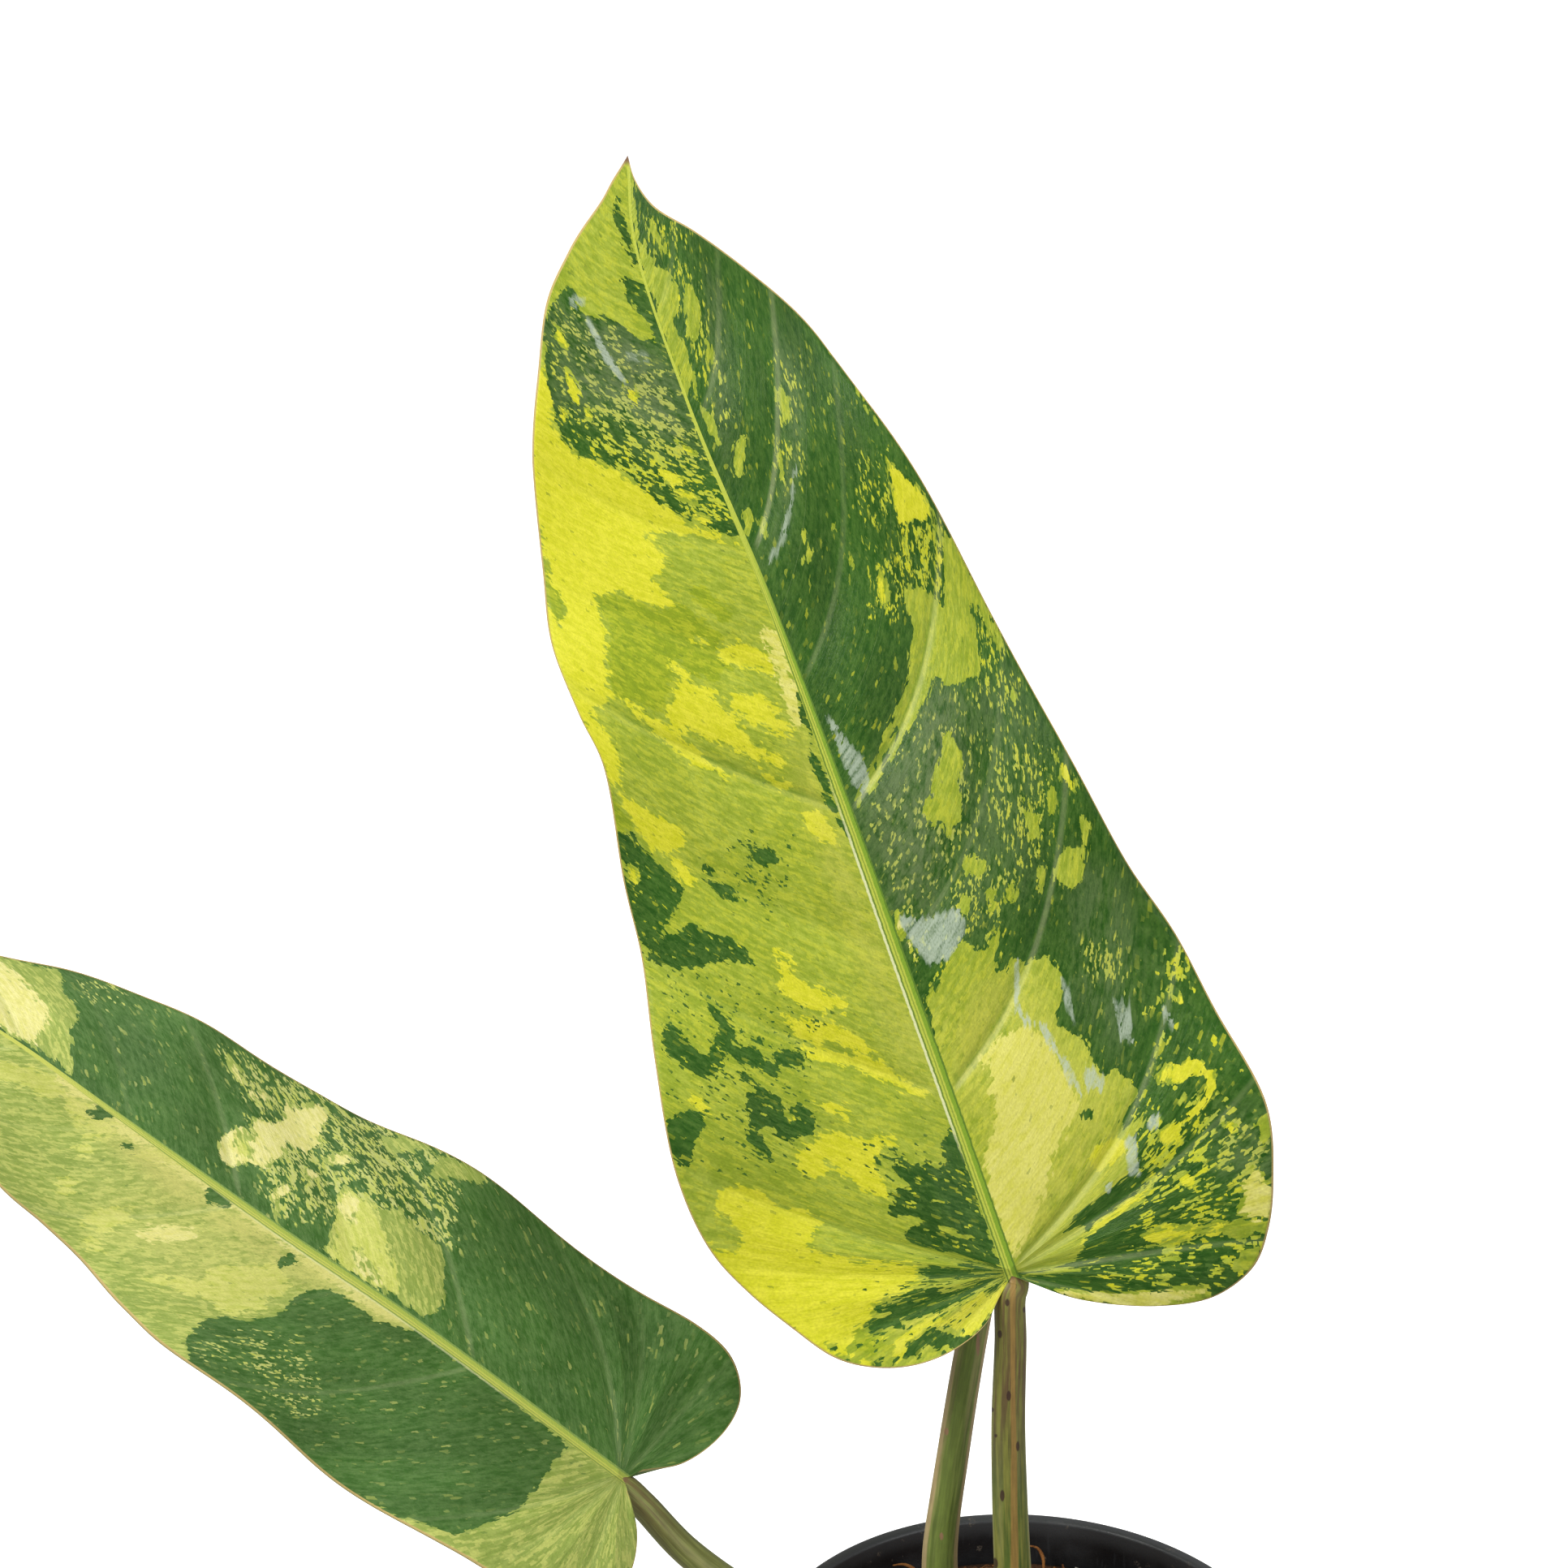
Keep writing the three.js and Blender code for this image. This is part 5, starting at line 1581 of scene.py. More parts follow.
    def _lift(self, half: Half, side: int, a: Array, b: Array, rib: Array, weight: Array) -> Array:
        """Gives the height of the middle surface over the flat blade.

        It is the fold times (sqrt(b^2 + r^2) - r), plus the margin's wave times the square of
        v, plus swells between the side veins, less a furrow over each vein.

        Args:
            half: the half blade.
            side: 1 for the right half and -1 for the left one.
            a: distance along the midrib.
            b: distance out from it.
            rib: distance to the nearest side vein.
            weight: weight of that vein.

        Returns:
            Heights in millimetres.
        """
        v = self._shares()
        depth, width = self.CREASE
        edge_fade = 1 - v ** 3
        furrow = depth * weight * np.exp(-(rib / width) ** 2) * edge_fade * smoothstep(b, 1, 6)
        bulge, away = self.BULGE
        swell = bulge * (1 - np.exp(-(rib / away) ** 2)) * edge_fade * smoothstep(b, 2, 12)
        size, stretch = self.ROLL
        undulation = waves(np.stack([a, b], -1), stretch, self.shape.seed + side)
        roll = size * undulation * v * smoothstep(b, 2, 20)
        fold = self.shape.fold * (np.hypot(b, self.CREASE_RADIUS) - self.CREASE_RADIUS)
        height, length = self.shape.wave
        fade = 1 - np.maximum(a / self.length, 0) ** 5
        wave = height * fade * v ** 2 * np.sin(math.tau * a / length + half.phase)
        return fold + wave + (swell - furrow + roll) * fade

    def _side(self, shell: Shell, half: Half, side: int) -> None:
        """Adds one half blade: both faces, its margin and its part of the notch.

        The faces lie half the thickness over and under the middle surface. The upper one has
        a groove over the midrib, and the lower one a ridge, both shaped as exp(-(b / width)^2).

        Args:
            shell: takes the surfaces.
            half: the half blade.
            side: 1 for the right half and -1 for the left one.
        """
        a, b, spacing, travel = self._flat(half)
        chart = self._chart(spacing, travel, side)
        rib, weight = self._ribs(half.veins, a[:, 0], spacing)
        lift = self._lift(half, side, a, b, rib, weight)
        along = np.clip(a / self.length, 0, 1)
        ridge_height, ridge_width = self.RIDGE
        slim = ridge_width * (1 - 0.7 * along)
        ridge = smoothstep(a, -3, 3) * ridge_height * (1 - 0.9 * along) * np.exp(-(b / slim) ** 2)
        groove_depth, groove_width = self.GROOVE
        groove = groove_depth * (1 - along) * np.exp(-(b / groove_width) ** 2)
        point, right, normal = self.station(a)
        middle = point + right * (side * b)[..., None]
        top = middle + normal * (lift + self.THICKNESS / 2 - groove)[..., None]
        bottom = middle + normal * (lift - self.THICKNESS / 2 - ridge)[..., None]

        wide, slender = self.MIDRIB
        begun, full = self.TIP
        fields = {
            **self._looks(half, top, chart),
            "across": side * b,
            "midrib_width": slender + (wide - slender) * (1 - smoothstep(along, 0.3, 0.85)),
            # Where the painted highlight runs along the midrib, and how strong the veins' painted sheen is
            "midrib_highlight": half.veins.strength * smoothstep(a, 28, 42) * smoothstep(a, 135, 105),
            "rib_sheen": np.full_like(a, half.veins.sheen),
            "tip": smoothstep(a, self.length - begun, self.length - full),
            "inset": (travel[:, -1:] - travel) * 0.75,
            "rib": rib,
            "rib_weight": weight * (1 - 0.6 * self._shares()) * smoothstep(b, 1, 4),
        }
        flip = side < 0
        shell.add_grid(top, chart * MM, {**fields, "under": 0.0}, flip)
        shell.add_grid(bottom, chart * MM, {**fields, "under": 1.0}, not flip)
        for pick in (np.s_[:, -1], np.s_[0, :]):
            strip = np.stack([top[pick], bottom[pick]], 1)
            edge_chart = np.stack([chart[pick]] * 2, 1) * MM
            edge_fields = {key: np.stack([values[pick]] * 2, 1) for key, values in fields.items()}
            shell.add_grid(strip, edge_chart, {**edge_fields, "under": 0.5}, flip)

    def _looks(self, half: Half, top: Array, chart: Array) -> dict[str, Array]:
        """Works out the tissue fields of one half.

        Args:
            half: the half blade.
            top: the upper face's points.
            chart: distances across and along the veins.

        Returns:
            Named values, shaped rows by columns.
        """
        shape = top.shape[:2]
        pixels = VIEW.pixels(top.reshape(-1, 3))
        if self.shape.seen:
            fields = lay_tones(pixels, half.base, half.patches)
            fields["fleck"] = lay_dust(pixels, half.fleck, half.flecks)
            # Zones of water marks with painted reflections and of painted sheen are laid with the specks
            # and washes
            for name, zones in (("speck", half.specks), ("residue_and_reflection", half.residue_and_reflection_zones), ("painted_sheen", half.painted_sheens),
                                ("wash", half.washes)):
                fields[name] = lay_dust(pixels, 0.0, zones)
        else:
            flat = chart.reshape(-1, 2)
            seed = self.shape.seed
            drawn = flat * self.STRETCHED
            fields = grow_tones(flat, seed)
            fields["fleck"] = 0.2 + 0.25 * waves(drawn, 40, seed + 9)
            fields["speck"] = np.full(len(flat), 0.05)
            # Made-up water-mark residue with painted reflections
            fields["residue_and_reflection"] = 0.5 * smoothstep(waves(drawn, 22, seed + 11), 0.9, 1.2)
            # Made-up painted sheen on the deep tissue
            fields["painted_sheen"] = 0.5 * smoothstep(waves(drawn, 50, seed + 13), 0, 1)
        return {key: values.reshape(shape) for key, values in fields.items()}

    def build(self) -> None:
        """Makes the blade."""
        shell = Shell()
        for half, side in zip(self.shape.halves, (1, -1)):
            self._side(shell, half, side)
        mesh = shell.mesh(self.shape.node + "_surface")
        place(mesh, self.shape.finish.material(), "leaf_blade", self.shape.node)


# Stalks and stem


@dataclass(frozen=True)
class StalkShape:
    """Form and marks of one leaf stalk.

    Attributes:
        node: the frame's node that it stands for.
        points: its course, from inside the stem up.
        radii: pairs of share of its length and radius.
        finish: its skin.
        scars: dark spots as the picture's pixel x and y, and half width and half height.
        stripe: course of its coloured stripe as the picture's pixel x, y and half width.
        sides: how far the pale flanks reach in, from the left and from the right, as shares
            of the half width.
        top: share of the length from which the brown top grows.
        seed: picks the spots of the side that the picture hides.
    """

    node: str
    points: list[tuple[float, float, float]]
    radii: list[tuple[float, float]]
    finish: StalkFinish
    scars: Rows = ()
    stripe: Rows = ()
    sides: tuple[float, float] = (0.1, 0.1)
    top: float = 1.2
    seed: int = 1


class Stalk:
    """A round stalk that ends just behind its blade's joint."""

    SIDES = 64  # points of a ring
    STEPS = 280  # rings along a stalk
    ENDS = ((-4.0, 3.3), (3.0, 3.3))  # last points, along the midrib and behind the blade
    HIDDEN_SCARS = 9  # spots on the side away from the camera
    SCAR_PLACE = ((0, 0.15), (26, 0.95))  # least and most millimetres round, and share of the length
    SCAR_SIZE = ((0.5, 0.9), (1.1, 2.0))  # least and most half width and half height
    MARK_PEAK = 1.5  # strength at a mark's middle, which falls by one over its half size
    KNUCKLE = (5.0, 0.6)  # distance from the end, and half width

    def __init__(self, shape: StalkShape, blade: Blade) -> None:
        """Joins the stalk's course to its blade.

        Args:
            shape: its form.
            blade: the blade that it carries.
        """
        self.shape = shape
        point, _, normal = blade.station(np.zeros(1))
        tangent = blade.curve.tangent(np.zeros(1))
        ends = [point + along * tangent - behind * normal for along, behind in self.ENDS]
        self.curve = SmoothCurve(np.vstack([np.array(shape.points), *ends]))

    def _scars(self, pixels: Array, chart: Array, seen: Array) -> Array:
        """Gives 1 in a dark spot, falling to 0 round it.

        A spot's strength is its peak less the distance to its centre, in its own half sizes.

        Args:
            pixels: the picture's pixel of each point.
            chart: millimetres round and along the stalk.
            seen: whether the camera's side shows the point.

        Returns:
            Strengths from 0 to 1.
        """
        strength = np.zeros(seen.shape)
        for x, y, wide, high in self.shape.scars:
            away = np.hypot((pixels[..., 0] - x) / wide, (pixels[..., 1] - y) / high)
            strength = np.maximum(strength, np.where(seen, self.MARK_PEAK - away, 0))
        random = np.random.default_rng(self.shape.seed)
        for _ in range(self.HIDDEN_SCARS):
            around, along = random.uniform(*self.SCAR_PLACE)
            wide, high = random.uniform(*self.SCAR_SIZE)
            lengthwise = chart[..., 1] - along * self.curve.length
            away = np.hypot((chart[..., 0] - around) / wide, lengthwise / high)
            strength = np.maximum(strength, np.where(seen, 0, self.MARK_PEAK - away))
        return np.clip(strength, 0, 1)

    def _stripe(self, pixels: Array) -> Array:
        """Gives 1 along the stripe, falling to 0 at its sides.

        Args:
            pixels: the picture's pixel of each point.

        Returns:
            Strengths from 0 to 1.
        """
        if not self.shape.stripe:
            return np.zeros(pixels.shape[:2])
        x, y, width = np.array(self.shape.stripe).T
        away = np.abs(pixels[..., 0] - np.interp(pixels[..., 1], y, x))
        return np.clip(self.MARK_PEAK - away / np.interp(pixels[..., 1], y, width), 0, 1)

    def build(self) -> None:
        """Makes the stalk."""
        points, axis, chart = ring_grid(self.curve, np.array(self.shape.radii), self.SIDES, self.STEPS)
        offset = points - axis
        lateral = offset[..., 0] / np.maximum(np.linalg.norm(offset, axis=-1), TINY)
        pixels = VIEW.pixels(points)
        share = chart[..., 1] / self.curve.length
        before, width = self.KNUCKLE
        flanks = [smoothstep(sign * lateral, 0.85 - inward, 1.15 - inward)
                  for sign, inward in zip((-1, 1), self.shape.sides)]
        fields = {
            "scar": self._scars(pixels, chart, offset[..., 1] < 0),
            "side": np.maximum(*flanks),
            "top": smoothstep(share, self.shape.top - 0.25, self.shape.top + 0.1),
            "knuckle": np.exp(-(((1 - share) * self.curve.length - before) / width) ** 2),
            "stripe": self._stripe(pixels),
        }
        shell = Shell()
        shell.add_grid(points, chart * MM, fields, flip=True)
        mesh = shell.mesh(self.shape.node + "_skin")
        place(mesh, self.shape.finish.material(), "leaf_stalk", self.shape.node)


@dataclass(frozen=True)
class AerialRoot:
    """One aerial root: its azimuth in degrees, height, reach and radius."""

    azimuth: float
    height: float
    reach: float
    radius: float


@dataclass(frozen=True)
class Stem:
    """Short upright stem with a ring at each old leaf scar, a shoulder and a pointed bud.

    Its axis stands at x and y. The fields buried, rings, shoulder and bud_top are heights. Its
    random relief has a height, a length and a seed, and grows in between the smooth heights.
    """

    x: float = -12.6
    y: float = 5.0
    radius: float = 8.4
    buried: float = 72.0
    rings: tuple[float, ...] = (109.0, 114.5, 120.0)
    ring_rise: float = 0.7
    shoulder: float = 124.5
    bud_radius: float = 3.2
    bud_top: float = 141.5
    sides: int = 96
    relief: tuple[float, float, int] = (0.25, 7.0, 31)
    smooth: tuple[float, float] = (90.0, 104.0)
    roots: tuple[AerialRoot, ...] = (
        AerialRoot(288, 111.5, 21, 1.9), AerialRoot(28, 113, 24, 1.6),
        AerialRoot(95, 110.5, 19, 2), AerialRoot(165, 109.5, 22, 1.5))
    finish: BarkFinish = BarkFinish()

    def _profile(self) -> Array:
        """Lists the stem's outline, smoothed into many short steps.

        Returns:
            Rows of radius and height.
        """
        r, bud = self.radius, self.bud_radius
        corners = [(0.0, self.buried), (r * 0.55, self.buried), (r * 0.9, self.buried + 9)]
        for z in self.rings:
            corners += [(r, z - 1.6), (r + self.ring_rise, z), (r - 0.2, z + 1.2)]
        corners += [(r * 0.92, self.shoulder - 2), (bud * 1.5, self.shoulder + 1), (bud, self.shoulder + 5),
                    (bud * 0.72, self.bud_top - 7), (0.5, self.bud_top - 0.3), (0.0, self.bud_top)]
        return np.maximum(SmoothCurve(np.array(corners), per_span=10).samples, 0)

    def _root(self, shell: Shell, root: AerialRoot, level: float) -> None:
        """Adds one aerial root, which leaves the stem level and dives into the mix.

        Args:
            shell: takes the root.
            root: its form.
            level: height of the potting mix.
        """
        turn = math.radians(root.azimuth)
        stops = ((self.radius - 3, root.height), (self.radius + 4, root.height + 0.6),
                 (root.reach - 3, level + 3), (root.reach, level - 6))
        course = [(self.x + r * math.cos(turn), self.y + r * math.sin(turn), z) for r, z in stops]
        radii = np.array([(0, root.radius), (1, root.radius * 0.7)])
        grid, _, chart = ring_grid(SmoothCurve(np.array(course)), radii, 20, 40)
        shell.add_grid(grid, chart * MM, {"root": 1.0}, flip=True)

    def build(self, level: float) -> None:
        """Makes the stem and its roots as one surface.

        Args:
            level: height of the potting mix.
        """
        points = turned_grid(self._profile(), self.sides, (self.x, self.y))
        outward = unit((points - (self.x, self.y, 0)) * (1, 1, 0))
        height, length, seed = self.relief
        knobs = height * waves(points, length, seed) * smoothstep(points[..., 2], *self.smooth)
        points += outward * knobs[..., None]
        points[:, -1] = points[:, 0]
        shell = Shell()
        shell.add_grid(points, None, {"root": 0.0})
        for root in self.roots:
            self._root(shell, root, level)
        place(shell.mesh("stem_surface"), self.finish.material(), "stem_bark", "stem")


# Pot and potting mix


@dataclass(frozen=True)
class Pot:
    """Thin nursery pot: tapered wall, thick band and rolled lip, floor with drain cuts.

    The band stands out over the wall by its step and stays behind the lip by its inset. The
    wall flares over the ledge's height under it. A slot has a length outwards, a width and a
    height, and the nub an azimuth in degrees, a distance from the axis and a height. Edges
    sharper than the crease's angle stay sharp.
    """

    height: float = 118.5
    rim_radius: float = 69.5
    band_height: float = 12.0
    band_step: float = 2.6
    band_inset: float = 1.3
    ledge: float = 3.0
    lip_width: float = 4.0
    wall: float = 1.8
    floor: float = 2.4
    foot_radius: float = 48.0
    foot_round: float = 1.5
    floor_round: float = 2.2
    band_round: float = 0.8
    lip_round: float = 1.7
    inner_lip_round: float = 1.2
    sides: int = 240
    holes: int = 4
    hole_radius: float = 4.0
    hole_circle: float = 24.0
    slots: int = 8
    slot_size: tuple[float, float, float] = (11.0, 9.0, 10.0)
    nub: tuple[float, float, float] = (111.7, 67.3, 118.6)
    nub_radius: float = 0.9
    crease: float = 38.0
    finish: PlasticFinish = PlasticFinish()

    @property
    def wall_top(self) -> float:
        """Outer radius of the wall just below the band."""
        return self.rim_radius - self.band_inset - self.band_step

    def _profile(self) -> Array:
        """Lists the pot's outline, from the axis out, up, over the lip and down inside.

        Returns:
            Rows of radius and height.
        """
        rim, top, floor = self.rim_radius, self.height, self.floor
        foot, wall = self.foot_radius, self.wall_top
        low = top - self.band_height
        ledge = low - self.ledge
        band, inner_rim = rim - self.band_inset, rim - self.lip_width
        inner_wall, inner_foot = wall - self.wall, foot - self.wall
        r = self.foot_round
        rows = [[0, 0], [foot - 4, 0], [foot - r, 0], *arc((foot - r, r), r, -75, -10, 5)]
        rows += [[foot + (wall - foot) * t, r + (ledge - r) * t] for t in (0.02, 0.33, 0.66, 0.985)]
        rows += [[wall, ledge], [wall + 0.05, low - 1.8], [wall + 0.35, low - 1.2]]
        r = self.band_round
        rows += [[band - r, low - 0.9], *arc((band - r, low - 0.9 + r), r, -60, 0, 4)]
        rows += [[band + 0.02, low + 3], [band + 0.1, top - 4.2]]
        rows += [[rim - 0.7, top - 3.6], [rim - 0.15, top - 2.9]]
        r = self.lip_round
        rows += arc((rim - r, top - r), r, -10, 90, 9)
        r = self.inner_lip_round
        rows += arc((inner_rim + r, top - r), r, 90, 180, 7)
        rows += [[inner_rim, top - 2], [inner_rim - 0.2, top - 6]]
        rows += [[inner_wall + 0.6, low - 1.2], [inner_wall, ledge], [inner_foot, floor + 2.5]]
        r = self.floor_round
        rows += arc((inner_foot - r, floor + r), r, -10, -85, 5)
        rows += [[inner_foot - 2.5, floor], [0, floor]]
        return np.array(rows, float)

    def _cutters(self) -> Object:
        """Makes the drain holes' cylinders and the slots' boxes as one mesh.

        Returns:
            The object that cuts them.
        """
        shell = Shell()
        drill = np.array([[0, -5], [self.hole_radius, -5], [self.hole_radius, 8], [0, 8]])
        for i in range(self.holes):
            turn = math.tau * (i + 0.5) / self.holes
            centre = (self.hole_circle * math.cos(turn), self.hole_circle * math.sin(turn))
            shell.add_grid(turned_grid(drill, 40, centre))
        square = np.array([[-1, -1, 0], [1, -1, 0], [1, 1, 0], [-1, 1, 0], [-1, -1, 0]])
        rings = [square * (out, out, 0) + (0, 0, z) for out, z in ((0, -1), (1, -1), (1, 1), (0, 1))]
        box = np.array(rings) * self.slot_size / 2 + (self.foot_radius, 0, 0)
        for i in range(self.slots):
            turn = math.tau * i / self.slots
            cosine, sine = math.cos(turn), math.sin(turn)
            shell.add_grid(box @ np.array([[cosine, sine, 0], [-sine, cosine, 0], [0, 0, 1]]))
        return show("drain_cutters", shell.mesh("drain_cutters"))

    def build(self) -> None:
        """Makes the pot and cuts its drain openings."""
        shell = Shell()
        shell.add_grid(turned_grid(self._profile(), self.sides))
        body = show("pot_body", shell.mesh("pot_body"))
        cutter = self._cutters()
        cut = body.modifiers.new("drain", "BOOLEAN")
        cut.operation = "DIFFERENCE"
        cut.solver = "EXACT"
        cut.object = cutter
        depsgraph = bpy.context.evaluated_depsgraph_get()
        mesh = bpy.data.meshes.new_from_object(body.evaluated_get(depsgraph))
        mesh.name = "pot_shell"
        for spare in (body, cutter):
            bpy.data.objects.remove(spare)
        mesh.materials.clear()
        mesh.set_sharp_from_angle(angle=math.radians(self.crease))
        place(mesh, self.finish.material(), "pot_plastic", "pot")

    def build_nub(self) -> None:
        """Makes the little moulding nub on the rim."""
        azimuth, radius, height = self.nub
        turn = math.radians(azimuth)
        profile = [[0, height - 1.2], *arc((0, height - 0.6), self.nub_radius, -40, 90, 8)]
        centre = (radius * math.cos(turn), radius * math.sin(turn))
        shell = Shell()
        shell.add_grid(turned_grid(np.array(profile), 24, centre))
        place(shell.mesh("rim_nub"), self.finish.material(), "pot_plastic", "pot")


@dataclass(frozen=True)
class Bits:
    """A kind of loose matter on the mix: squat drums with ragged corners.

    Attributes:
        finish: its matter.
        seed: picks the places.
        count: how many there are.
        least: the smallest length, width and thickness.
        most: the greatest ones.
        tilt: how far one may lean, in radians.
        lift: its middle's height over the mix, in halves of its thickness.
    """

    finish: CrumbFinish
    seed: int
    count: int
    least: tuple[float, float, float]
    most: tuple[float, float, float]
    tilt: float
    lift: float = 0.2

    SIDES = 8  # corners of a drum
    DRUM = ((0, -1), (0.8, -1), (1, -0.5), (1, 0.5), (0.8, 1), (0, 1))  # its radius and height
    RAGGED = (0.72, 1.22)  # least and most share of its radius at a corner
    STACKING = 0.8  # most millimetres that one may lie on others

    def _bit(self, random: np.random.Generator) -> tuple[Array, Array]:
        """Makes one drum, turned and tilted at random.

        Args:
            random: the source of chance.

        Returns:
            Its points, and half its length, width and thickness.
        """
        size = random.uniform(self.least, self.most) / 2
        ragged = random.uniform(*self.RAGGED, self.SIDES + 1)
        ragged[-1] = ragged[0]
        drum = turned_grid(np.array(self.DRUM), self.SIDES) * size
        drum[..., :2] *= ragged[:, None]
        lean = self.tilt
        spin, roll, pitch = random.uniform((0, -lean, -lean), (math.tau, lean, lean))
        return drum @ turning(roll, pitch, spin).T, size

    def build(self, mix: "PottingMix", reach: float) -> None:
        """Scatters the bits over the mix.

        Args:
            mix: what they lie on.
            reach: how far from the axis they lie.
        """
        random = np.random.default_rng(self.seed)
        shell = Shell()
        for _ in range(self.count):
            points, size = self._bit(random)
            radius = mix.clear + (reach - size[0] - mix.clear) * math.sqrt(random.uniform())
            where = random.uniform(0, math.tau)
            x, y = radius * math.cos(where), radius * math.sin(where)
            height = mix.height_at(x, y) + self.lift * size[2] + random.uniform(0, self.STACKING)
            shell.add_grid(points + (x, y, height))
        place(shell.mesh(self.finish.name + "s"), self.finish.material(), "potting_mix", "potting_mix")


@dataclass(frozen=True)
class PottingMix:
    """Loose mix of husk chips, fibres and perlite round the stem.

    Loose matter starts at the clear distance from the axis. A fibre's radius, length and arch
    are each given as the least and the most. The back fibres are the courses of those that
    stand up behind the stalks, and the others lie at random.
    """

    level: float = 105.5
    relief: float = 0.9
    gap: float = 0.3
    sides: int = 240
    rings: int = 64
    clear: float = 13.0
    seed: int = 7
    fibres: int = 170
    fibre_radius: tuple[float, float] = (0.22, 0.55)
    fibre_length: tuple[float, float] = (8.0, 30.0)
    fibre_arch: tuple[float, float] = (0.2, 3.2)
    back_fibres: tuple[tuple[tuple[float, float, float], ...], ...] = (
        ((9.6, 58.0, 106.0), (9.3, 59.6, 110.4), (7.6, 60.2, 113.0), (5.4, 60.0, 113.6)),
        ((-24.0, 55.0, 106.0), (-26.5, 54.6, 109.6), (-29.5, 53.8, 111.8), (-32.6, 52.4, 112.4)))
    bits: tuple[Bits, ...] = (
        Bits(CrumbFinish("husk_chip", "#3a2213", "#8a5c34", 2.5, 1.6),
             18, 300, (4, 2.5, 1), (13, 6.5, 2.6), 0.7),
        Bits(CrumbFinish("bark_crumb", "#24150d", "#5f3c22", 1.2, 1.0),
             19, 700, (1.2, 1, 0.8), (3.5, 2.6, 1.8), 1.6),
        Bits(CrumbFinish("perlite_grain", "#b9b2a4", "#ece8df", 1.0, 0.9, 0.85),
             20, 46, (2.2, 2, 1.8), (4.8, 4.2, 3.4), 1.2, 0.5))
    body_finish: CrumbFinish = CrumbFinish("peat_and_fibre", "#20140d", "#54361f", 1.0, 1.1, 0.95)
    fibre_finish: CrumbFinish = CrumbFinish("coir_fibre", "#5b3418", "#a8703a", 1.0, 2.5, 0.8)

    def height_at(self, x: Array, y: Array) -> Array:
        """Gives the height of the mix: crossed sine swells about its level.

        Args:
            x: places.
            y: places.

        Returns:
            Heights in millimetres.
        """
        swell = np.sin(x / 6.1 + 1.3) * np.cos(y / 5.3)
        grain = np.sin(x / 2.9 - y / 3.7 + 0.4)
        return self.level + self.relief * (0.7 * swell + 0.5 * grain)

    def _edge(self, pot: Pot, height: float) -> float:
        """Gives the radius of the mix at a height: the pot's inner wall less a small gap.

        Args:
            pot: the pot that it fills.
            height: where to work it out.

        Returns:
            The radius in millimetres.
        """
        inner_foot = pot.foot_radius - pot.wall
        base = pot.floor + 2.5
        rise = pot.height - pot.band_height - pot.ledge - base
        slope = (pot.wall_top - pot.foot_radius) / rise
        return inner_foot + slope * (height - base) - 1.2 * self.gap

    def _build_body(self, pot: Pot) -> None:
        """Makes the body of the mix with its rough top.

        Args:
            pot: the pot that it fills.
        """
        low = pot.floor + self.gap
        edge = self._edge(pot, self.level)
        foot = [[0, low], [pot.foot_radius - pot.wall - 2.5, low], [self._edge(pot, low + 3), low + 3]]
        top = [[edge * share, self.level] for share in np.linspace(1, 0, self.rings + 1)]
        points = turned_grid(np.array(foot + top), self.sides)
        disc = points[len(foot):]
        flat = disc[..., :2]
        x, y = flat[..., 0], flat[..., 1]
        fade = smoothstep(edge - np.hypot(x, y), 0, 4)
        rough = 0.8 * waves(flat, 9, self.seed) + 0.45 * waves(flat, 3.4, self.seed + 1)
        disc[..., 2] = self.level + fade * (self.height_at(x, y) - self.level + rough)
        disc[-1] = disc[-1].mean(0)
        points[:, -1] = points[:, 0]
        shell = Shell()
        shell.add_grid(points)
        place(shell.mesh("mix_body"), self.body_finish.material(), "potting_mix", "potting_mix")

    def _course(self, random: np.random.Generator, reach: float) -> Array:
        """Bends one fibre's course, which lies on the mix or arches over it.

        Args:
            random: the source of chance.
            reach: how far from the axis its middle lies.

        Returns:
            Five points.
        """
        length = random.uniform(*self.fibre_length)
        radius = self.clear + (reach - self.clear) * math.sqrt(random.uniform())
        where, heading, bend = random.uniform((0, 0, -1.1), (math.tau, math.tau, 1.1))
        shares = np.linspace(-0.5, 0.5, 5)
        angle = heading + bend * shares
        x = radius * math.cos(where) + length * shares * np.cos(angle)
        y = radius * math.sin(where) + length * shares * np.sin(angle)
        keep = np.minimum(1, (reach + 2) / np.maximum(np.hypot(x, y), TINY))
        x, y = x * keep, y * keep
        arch = random.uniform(*self.fibre_arch) * (1 - (2 * shares) ** 2)
        return np.stack([x, y, self.height_at(x, y) + 0.3 + arch], -1)

    def _build_fibres(self, reach: float) -> None:
        """Makes the thin bent fibres, most of them lying on the mix and a few standing up.

        Args:
            reach: how far from the axis they lie.
        """
        random = np.random.default_rng(self.seed + 5)
        shell = Shell()
        courses = [self._course(random, reach) for _ in range(self.fibres)]
        least, most = self.fibre_radius
        thick = [most] * len(self.back_fibres) + [random.uniform(least, most) for _ in courses]
        for course, radius in zip([*self.back_fibres, *courses], thick):
            radii = np.array([(0, radius * 0.6), (0.5, radius), (1, radius * 0.4)])
            grid, _, chart = ring_grid(SmoothCurve(np.array(course), per_span=8), radii, 6, 10)
            shell.add_grid(grid, chart * MM, flip=True)
        place(shell.mesh("mix_fibres"), self.fibre_finish.material(), "potting_mix", "potting_mix")

    def build(self, pot: Pot) -> None:
        """Makes the mix and all its loose matter.

        Args:
            pot: the pot that it fills.
        """
        reach = self._edge(pot, self.level) - 1.5
        self._build_body(pot)
        self._build_fibres(reach - 3)
        for bits in self.bits:
            bits.build(self, reach)


# Studio


